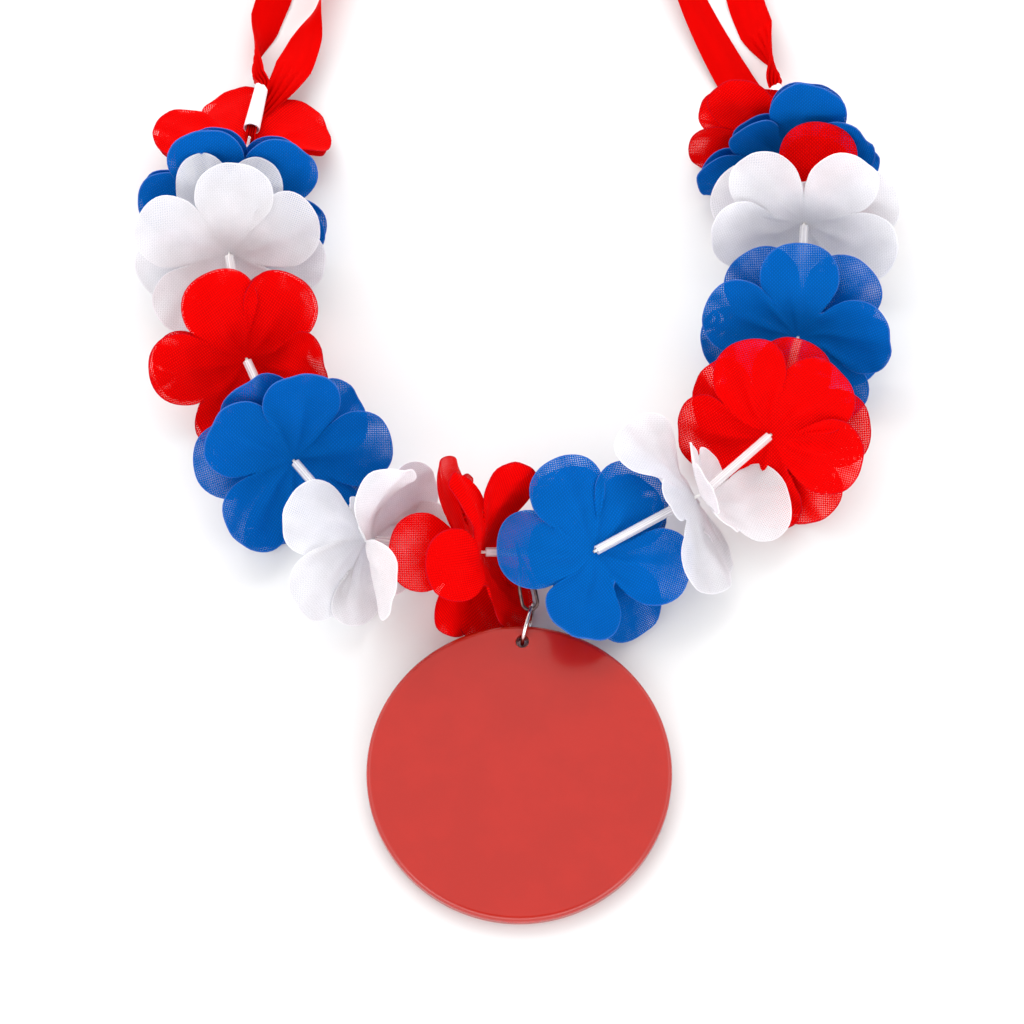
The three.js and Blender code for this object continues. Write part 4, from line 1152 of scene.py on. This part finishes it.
def link_places():
    """Points round the link, a long loop with a quarter turn from its foot to its head."""
    centre, out = ring_frame()
    foot = centre + out * LINK_FOOT_OUT + Vector((0, 0, LINK_FOOT_UP))
    carrier = cord_ends(6)[1].lerp(cord_ends(7)[0], LINK_CARRIER_SHARE)
    axis = (carrier - foot).normalized()
    side = (SHOW_RIGHT - axis * axis.x).normalized()
    depth = axis.cross(side)
    length = (carrier + axis * LINK_HALF_WIDTH - foot).length
    run = length - 2 * LINK_HALF_WIDTH

    def point(distance, offset):
        twist = pi / 2 * smooth_step(LINK_TWIST_FROM, length - LINK_TWIST_SHORT, distance)
        return foot + axis * distance + (side * cos(twist) + depth * sin(twist)) * offset

    half = LINK_HALF_WIDTH
    bends = [pi * i / BEND_STEPS for i in range(BEND_STEPS + 1)]
    runs = [half + run * i / RUN_STEPS for i in range(1, RUN_STEPS)]
    loop = [point(half * (1 - sin(turn)), half * cos(turn)) for turn in bends]
    loop += [point(distance, -half) for distance in runs]
    loop += [point(length - half * (1 - sin(turn)), -half * cos(turn)) for turn in bends]
    loop += [point(distance, half) for distance in reversed(runs)]
    return loop


# ---- Ribbon -----------------------------------------------------------------------------------

# Each station of the ribbon's middle line: its place, its turn (0 lies flat, 90 stands on edge)
# and its width.
OUTER_RUN = (
    (-69.3, 194.5, 7.6, 45, 4.2), (-70.4, 202.5, 5.6, 88), (-68.4, 212, 4.2, 135),
    (-65.8, 221, 3.6, 145), (-57, 246, 4.4, 115), (-46, 274, EDGE_HEIGHT, 90),
    (-32, 305, EDGE_HEIGHT, 90), (-14, 332, EDGE_HEIGHT, 90), (5, 341, EDGE_HEIGHT, 90),
    (25, 331, EDGE_HEIGHT, 90), (40, 304, EDGE_HEIGHT, 90), (51, 272, EDGE_HEIGHT, 90),
    (57, 243, 4.4, 125), (61.2, 220.6, 2.4, 160), (64, 211, 2.6, 150), (67.9, 199.5, 5.2, 80, 7),
)
INNER_RUN = (
    (-68.9, 180.5, 9.85, 0, 3), (-66.2, 185.5, 8.6, 0, 4.6), (-63.3, 191, 7.6, 0, 7.5),
    (-60.2, 198, 5.8, 0), (-57.2, 207, 4.4, 25), (-54.2, 217, EDGE_HEIGHT, 75),
    (-48, 234, EDGE_HEIGHT, 90), (-37, 260, EDGE_HEIGHT, 90), (-24, 288, EDGE_HEIGHT, 90),
    (-9, 311, EDGE_HEIGHT, 90), (3, 317, EDGE_HEIGHT, 90), (15, 310, EDGE_HEIGHT, 90),
    (26, 286, EDGE_HEIGHT, 90), (35, 260, EDGE_HEIGHT, 85), (41, 240, 4, 55),
    (47.1, 220, 2.6, 30), (57.4, 197.5, 1.4, 0), (61.8, 190, 1.8, 0), (65.4, 185.4, 3.6, 0, 6.5),
)
RIBBON_STEP = 0.9
RIBBON_COLUMNS = 33
CROWN = 0.35  # how far the ribbon bulges between its edges, to one side and then the other
CROWN_RUN = 23.0


def sleeve_stations(sleeve, sense):
    """From a sleeve's mouth through it, round the fold at its foot and back out beneath it."""
    beneath = (Vector((0, 0, -1)) + sleeve.inward * sleeve.inward.z).normalized()
    side = Vector((0, 0, 1)).cross(sleeve.inward).normalized() * sense
    runs = ((sleeve.mouth, -1.5, 0, GATHERED + 1), (sleeve.mouth, 1.5, 0, GATHERED),
            (sleeve.foot, -1, 0, GATHERED), (sleeve.foot, 0.75 * FOLD_REACH, 0.12, GATHERED),
            (sleeve.foot, FOLD_REACH, 0.5, GATHERED),
            (sleeve.foot, 0.75 * FOLD_REACH, 0.88, GATHERED), (sleeve.foot, -1, 1, GATHERED))
    stations = [(start + sleeve.inward * along + beneath * drop * FOLD_DROP, side, width)
                for start, along, drop, width in runs]
    return stations if sense > 0 else stations[::-1]


def run_stations(run, sense):
    """Stations of a run with the direction across the ribbon at each."""
    stations = []
    for index, (x, y, z, turn, *width) in enumerate(run):
        before, after = run[max(index - 1, 0)], run[min(index + 1, len(run) - 1)]
        ahead = Vector((after[0] - before[0], after[1] - before[1], 0)).normalized()
        level = Vector((0, 0, sense)).cross(ahead)
        side = level * cos(radians(turn)) + Vector((0, 0, sin(radians(turn))))
        stations.append((Vector((x, y, z)), side, width[0] if width else RIBBON_WIDTH))
    return stations


def spline_point(a, b, c, d, share):
    """Centripetal spline through b and c: its place and direction at a share of the way."""
    gaps = [(q - p).length ** 0.5 for p, q in ((a, b), (b, c), (c, d))]
    first = ((b - a) / gaps[0] - (c - a) / (gaps[0] + gaps[1]) + (c - b) / gaps[1]) * gaps[1]
    last = ((c - b) / gaps[1] - (d - b) / (gaps[1] + gaps[2]) + (d - c) / gaps[2]) * gaps[1]
    square = (c - b) * 3 - first * 2 - last
    cube = (b - c) * 2 + first + last
    point = b + first * share + square * share**2 + cube * share**3
    ahead = first + square * (2 * share) + cube * (3 * share**2)
    return point, ahead.normalized()


def ribbon_rows():
    """The middle line of the ribbon: places, directions across and widths, closed."""
    stations = [*sleeve_stations(SLEEVES["left"], 1), *run_stations(INNER_RUN, -1),
                *sleeve_stations(SLEEVES["right"], -1), *run_stations(OUTER_RUN[::-1], 1)]
    count = len(stations)
    rows = []
    for i in range(count):
        (a, _, _), (b, b_side, b_width), (c, c_side, c_width), (d, _, _) = (
            stations[(i + shift) % count] for shift in (-1, 0, 1, 2))
        steps = max(1, ceil((c - b).length / RIBBON_STEP))
        for j in range(steps):
            share = j / steps
            point, ahead = spline_point(a, b, c, d, share)
            side = b_side.lerp(c_side, share)
            side = (side - ahead * side.dot(ahead)).normalized()
            rows.append((point, side, ahead, b_width + (c_width - b_width) * share))
    return rows


def make_ribbon(material):
    """The ribbon as a thin closed sheet, folded like a fan where it is gathered."""
    settings = bpy.context.scene.lei_ribbon
    thickness = settings.thickness / MM
    shares = np.linspace(-1, 1, RIBBON_COLUMNS)
    half_fold = RIBBON_WIDTH / (2 * settings.folds)
    grid, flats = [], []
    run, before = 0.0, None
    for point, side, ahead, width in ribbon_rows():
        run += 0.0 if before is None else (point - before).length
        before = point
        face = np.array(side.cross(ahead).normalized())
        narrow = min(1.0, width / RIBBON_WIDTH)
        depth = half_fold * sqrt(1 - narrow * narrow) / 2
        fan = 2 / pi * np.arcsin(np.sin(pi * settings.folds * shares)) * depth
        crown = CROWN * narrow * (1 - shares**2) * sin(run / CROWN_RUN)
        place_z = max(point.z, abs(side.z) * width / 2 + RIBBON_CLEARANCE)
        centre = np.array((point.x, point.y, place_z))
        grid.append(centre + np.outer(shares * width / 2, side) + np.outer(fan + crown, face))
        flats.append(np.stack([shares * RIBBON_WIDTH / 2, np.full(RIBBON_COLUMNS, run)], axis=1))
    grid, flats = np.array(grid), np.array(flats)
    grid[..., 2] = np.maximum(grid[..., 2], RIBBON_CLEARANCE)
    normals = grid_normals(grid, closed_columns=False, closed_rows=True) * thickness / 2
    faces = sheet_faces(*grid.shape[:2], True)
    thing = new_object("ribbon_satin", two_skins(grid, normals), faces, material)
    set_cloth_map(thing, np.tile(flats.reshape(-1, 2), (2, 1)))
    middle = grid[:, RIBBON_COLUMNS // 2]
    length = run + (Vector(middle[0]) - Vector(middle[-1])).length
    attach(thing, GARLAND)
    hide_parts("ribbon")


# ---- Medallion --------------------------------------------------------------------------------

RIM_STEPS = 256
EDGE_STEPS = 12
HOLE_STEPS = 64
HOLE_LIP = 0.3
LIP_TURNS = 3
FACE_INSET = 0.25  # a loop that keeps each face flat up to its rounded edge


def ring_of(solid, centre, radius, height, steps):
    """A closed loop of points."""
    turns = [2 * pi * i / steps for i in range(steps)]
    return [solid.verts.new((centre[0] + radius * cos(turn), centre[1] + radius * sin(turn),
                             height)) for turn in turns]


def bridge(solid, loops):
    """Quads from each loop to the next, all of equally many points."""
    for first, second in zip(loops, loops[1:]):
        for i in range(len(first)):
            j = (i + 1) % len(first)
            solid.faces.new((first[i], first[j], second[j], second[i]))


def rounded(radius, rounding, steps):
    """Radii and heights over a rounded edge, from the top face to the lower one.

    The rounding of a hole's lips is less than 0.
    """
    half = MEDALLION_THICKNESS / 2
    turns = [pi / 2 * i / steps for i in range(steps + 1)]
    return [(radius - rounding * (1 - sin(turn)), side * (half - abs(rounding) * (1 - cos(turn))))
            for side, order in ((1, turns), (-1, turns[::-1])) for turn in order]


def make_medallion(material):
    """A round plate with a rounded edge and a drilled hole with softened lips."""
    edge = bpy.context.scene.lei_medallion.edge / MM
    face = MEDALLION_RADIUS - edge - FACE_INSET, MEDALLION_THICKNESS / 2
    hole = (HOLE_SHIFT, MEDALLION_RADIUS - HOLE_INSET)
    solid = bmesh.new()
    outer = [face, *rounded(MEDALLION_RADIUS, edge, EDGE_STEPS), (face[0], -face[1])]
    rims = [ring_of(solid, (0, 0), *size, RIM_STEPS) for size in outer]
    lips = rounded(HOLE_RADIUS, -HOLE_LIP, LIP_TURNS)
    holes = [ring_of(solid, hole, *size, HOLE_STEPS) for size in lips]
    bridge(solid, rims)
    bridge(solid, holes)
    for rim, lip in ((rims[0], holes[0]), (rims[-1], holes[-1])):
        corners = set(rim) | set(lip)
        edges = [link for link in solid.edges if link.verts[0] in corners
                 and link.verts[1] in corners and len(link.link_faces) == 1]
        bmesh.ops.triangle_fill(solid, use_beauty=True, edges=edges)
    bmesh.ops.recalc_face_normals(solid, faces=solid.faces)
    solid.transform(Matrix.Translation((0, 0, LIFT)) @ Matrix.Rotation(MEDALLION_TILT, 4, "X"))
    solid.transform(Matrix.Translation(ORIGIN) @ Matrix.Scale(MM, 4))
    mesh = bpy.data.meshes.new("medallion_plate")
    solid.to_mesh(mesh)
    solid.free()
    mesh.materials.append(material)
    mesh.polygons.foreach_set("use_smooth", [True] * len(mesh.polygons))
    thing = add_object("medallion_plate", mesh)
    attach(thing, MEDALLION)
    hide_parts("medallion")


# ---- Operators --------------------------------------------------------------------------------


LENS = 136.9
SENSOR = 36.0
CLIP_NEAR, CLIP_FAR = 0.05, 20.0
VIEW_MIDDLE = (-1.8, 72.0, 0.0)

TABLE_REACH = 6.0
LAMP_SIZE = 1.4, 1.0
LAMP_PLACE = (-0.25, 0.85, 1.05)
FILL_GLOW, PANEL_GLOW, WINDOW_GLOW = 2.4, 0.8, 1.6
FLAG_SHADE = 0.85


def aim(thing, direction):
    thing.rotation_mode = "QUATERNION"
    thing.rotation_quaternion = direction.to_track_quat("-Z", "Y")


class LEI_OT_camera(Operator):
    """Sets up the camera that looks steeply down on the lei"""

    bl_idname = "lei.camera"
    bl_label = "Camera"

    def execute(self, context):
        lens = bpy.data.cameras.new("camera")
        lens.sensor_width, lens.lens = SENSOR, LENS
        lens.clip_start, lens.clip_end = CLIP_NEAR, CLIP_FAR
        camera = add_object("camera", lens)
        camera.location = place(VIEW_MIDDLE) + TO_SHOW * context.scene.lei_stage.distance
        aim(camera, -TO_SHOW)
        context.scene.camera = camera
        return {"FINISHED"}


class LEI_OT_flowers(Operator):
    """Makes the fabric layers of every flower"""

    bl_idname = "lei.flowers"
    bl_label = "Flowers"

    def execute(self, context):
        fabrics = {colour: fabric_material(colour) for colour in FABRICS}
        for index, flower in enumerate(FLOWERS):
            for side in range(len(SIDES)):
                make_layer(index, side, fabrics[flower["colour"]])
        return {"FINISHED"}


class LEI_OT_tubes(Operator):
    """Makes the spacers between the flowers and the two end sleeves"""

    bl_idname = "lei.tubes"
    bl_label = "Tubes"

    def execute(self, context):
        settings = context.scene.lei_tubes
        numbers, ends = zip(*spacer_ends())
        spacers = apply_tree("spacers_milky", tube_points("spacer_points", ends), "Cut Tubes", {
            "Outer Radius": settings.spacer_radius, "Bore Radius": settings.spacer_bore,
            "Lip": SPACER_LIP,
            "Material": tube_material("Milky Tube", SPACER_COVER, SPACER_ROUGHNESS)})
        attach(spacers, GARLAND)
        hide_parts(*(f"spacer_{number:02d}" for number in numbers))
        plastic = tube_material("White Sleeve", SLEEVE_COVER, SLEEVE_ROUGHNESS)
        for side in SLEEVES:
            make_sleeve(side, plastic)
        return {"FINISHED"}


class LEI_OT_cord(Operator):
    """Lays the twisted cord through the flowers and tubes"""

    bl_idname = "lei.cord"
    bl_label = "Cord"

    def execute(self, context):
        settings = context.scene.lei_tubes
        radius = settings.strand_radius
        cord = apply_tree("cord_twisted", path_object("cord_path", cord_path()), "Laid Strands", {
            "Strands": STRANDS, "Strand Radius": radius, "Twist Radius": STRAND_NESTING * radius,
            "Pitch": settings.strand_pitch, "Step": THREAD_STEP, "Sides": THREAD_SIDES,
            "Material": cord_material()})
        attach(cord, GARLAND)
        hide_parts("cord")
        return {"FINISHED"}


class LEI_OT_hardware(Operator):
    """Makes the jump ring and the link that carries it"""

    bl_idname = "lei.hardware"
    bl_label = "Ring and Link"

    def execute(self, context):
        settings = context.scene.lei_medallion
        steel = metal_material("Ring Steel", (0.78, 0.74, 0.73), (0.62, 0.56, 0.55), 0.18)
        # The link's steel is painted dark: painted shade for the shadow it lies in behind the petals.
        dark = metal_material("Link Steel Painted Shade", (0.2, 0.14, 0.13), (0.11, 0.07, 0.07), 0.32)
        bent = path_object("ring_path", ring_places())
        ring = apply_tree("ring_wire", bent, "Laid Strands", {
            "Strand Radius": settings.ring_wire, "Sides": RING_SIDES, "Step": WIRE_STEP,
            "Material": steel})
        loop = path_object("link_path", link_places(), closed=True)
        link = apply_tree("link_wire", loop, "Laid Strands", {
            "Strand Radius": settings.link_wire, "Sides": LINK_SIDES, "Step": WIRE_STEP,
            "Material": dark})
        for thing, node, finish in ((ring, "jump_ring", "ring_steel"),
                                    (link, "hanging_link", "link_steel")):
            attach(thing, GARLAND)
            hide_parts(node)
        return {"FINISHED"}


class LEI_OT_medallion(Operator):
    """Makes the round lacquered medallion"""

    bl_idname = "lei.medallion"
    bl_label = "Medallion"

    def execute(self, context):
        make_medallion(lacquer_material())
        return {"FINISHED"}


class LEI_OT_ribbon(Operator):
    """Lays the satin neck band, gathered into its sleeves"""

    bl_idname = "lei.ribbon"
    bl_label = "Ribbon"

    def execute(self, context):
        make_ribbon(satin_material())
        return {"FINISHED"}


def studio_glow(make):
    """How bright the studio is in each direction: its ceiling, fill, side panels and window.

    A direction has a length of 1, and the ramps say where each light begins and ends along its
    three parts. A flag shades the ceiling on the camera's side.
    """
    direction = make.add("ShaderNodeTexCoord").outputs["Generated"]
    sideways, ahead, height = make.split(direction)
    aside = make.math("ABSOLUTE", sideways)
    flag = make.product(make.ramp(ahead, -0.65, -0.55), make.fall(ahead, -0.3, -0.15),
                        make.fall(aside, 0.2, 0.35, FLAG_SHADE))
    ceiling = make.product(make.ramp(height, 0.05, 0.4, 0.6, 1.0),
                           make.math("SUBTRACT", 1.0, flag))
    fill = make.product(make.fall(ahead, -0.6, -0.3), make.ramp(height, 0.05, 0.2),
                        make.fall(height, 0.5, 0.6))
    panels = make.product(make.ramp(aside, 0.45, 0.7), make.ramp(height, 0.1, 0.35))
    window = make.product(make.ramp(ahead, 0.55, 0.85), make.ramp(height, 0.02, 0.15),
                          make.fall(height, 0.4, 0.55))
    glow = ceiling
    for light, strength in ((fill, FILL_GLOW), (panels, PANEL_GLOW), (window, WINDOW_GLOW)):
        glow = make.math("MULTIPLY_ADD", light, strength, glow)
    return glow


class LEI_OT_stage(Operator):
    """Sets a white table and soft studio light round the lei"""

    bl_idname = "lei.stage"
    bl_label = "Stage"

    def execute(self, context):
        settings = context.scene.lei_stage
        mesh = bpy.data.meshes.new("table")
        corners = [(x * TABLE_REACH, y * TABLE_REACH, 0)
                   for x, y in ((-1, -1), (1, -1), (1, 1), (-1, 1))]
        mesh.from_pydata(corners, [], [(0, 1, 2, 3)])
        mesh.materials.append(table_material())
        add_object("table", mesh)
        lamp = bpy.data.lights.new("ceiling_box", "AREA")
        lamp.shape = "RECTANGLE"
        lamp.size, lamp.size_y = LAMP_SIZE
        lamp.energy = settings.key
        box = add_object("ceiling_box", lamp)
        box.location = LAMP_PLACE
        box.visible_glossy = False
        aim(box, -box.location)
        world = bpy.data.worlds.new("white_studio")
        world.use_nodes = True
        make = NodeMaker(world.node_tree)
        world.node_tree.nodes.clear()
        sky = make.add("ShaderNodeBackground", {
            "Color": rgba((1, 1, 1)), "Strength": make.product(studio_glow(make), settings.sky)})
        make.add("ShaderNodeOutputWorld", {"Surface": sky.outputs[0]})
        context.scene.world = world
        context.scene.view_settings.view_transform = "Standard"
        return {"FINISHED"}


class LEI_PT_sidebar(Panel):
    """Lists the lei's settings and the steps that make it"""

    bl_label = "Fabric Flower Lei"
    bl_idname = "LEI_PT_sidebar"
    bl_space_type = "VIEW_3D"
    bl_region_type = "UI"
    bl_category = "Lei"

    def draw(self, context):
        for operator, group in STEPS:
            column = self.layout.column()
            column.operator(operator.bl_idname)
            settings = getattr(context.scene, group)
            for name in settings.__annotations__:
                column.prop(settings, name)


STEPS = (
    (LEI_OT_camera, "lei_stage"),
    (LEI_OT_cord, "lei_tubes"),
    (LEI_OT_tubes, "lei_tubes"),
    (LEI_OT_flowers, "lei_flowers"),
    (LEI_OT_hardware, "lei_medallion"),
    (LEI_OT_medallion, "lei_medallion"),
    (LEI_OT_ribbon, "lei_ribbon"),
    (LEI_OT_stage, "lei_stage"),
)
GROUPS = {"lei_flowers": FlowerSettings, "lei_tubes": TubeSettings,
          "lei_medallion": MedallionSettings, "lei_ribbon": RibbonSettings,
          "lei_stage": StageSettings}
CLASSES = (*GROUPS.values(), *(operator for operator, _ in STEPS), LEI_PT_sidebar)


def register():
    for cls in CLASSES:
        bpy.utils.register_class(cls)
    for name, group in GROUPS.items():
        setattr(bpy.types.Scene, name, PointerProperty(type=group))


def unregister():
    for name in GROUPS:
        delattr(bpy.types.Scene, name)
    for cls in reversed(CLASSES):
        bpy.utils.unregister_class(cls)


def main():
    register()
    for build in (build_weave_group, build_patches_group, build_streaks_group, build_grain_group,
                  build_tubes_tree, build_wire_tree):
        build()
    for operator, _ in STEPS:
        family, name = operator.bl_idname.split(".")
        getattr(getattr(bpy.ops, family), name)()


if __name__ == "__main__":
    main()
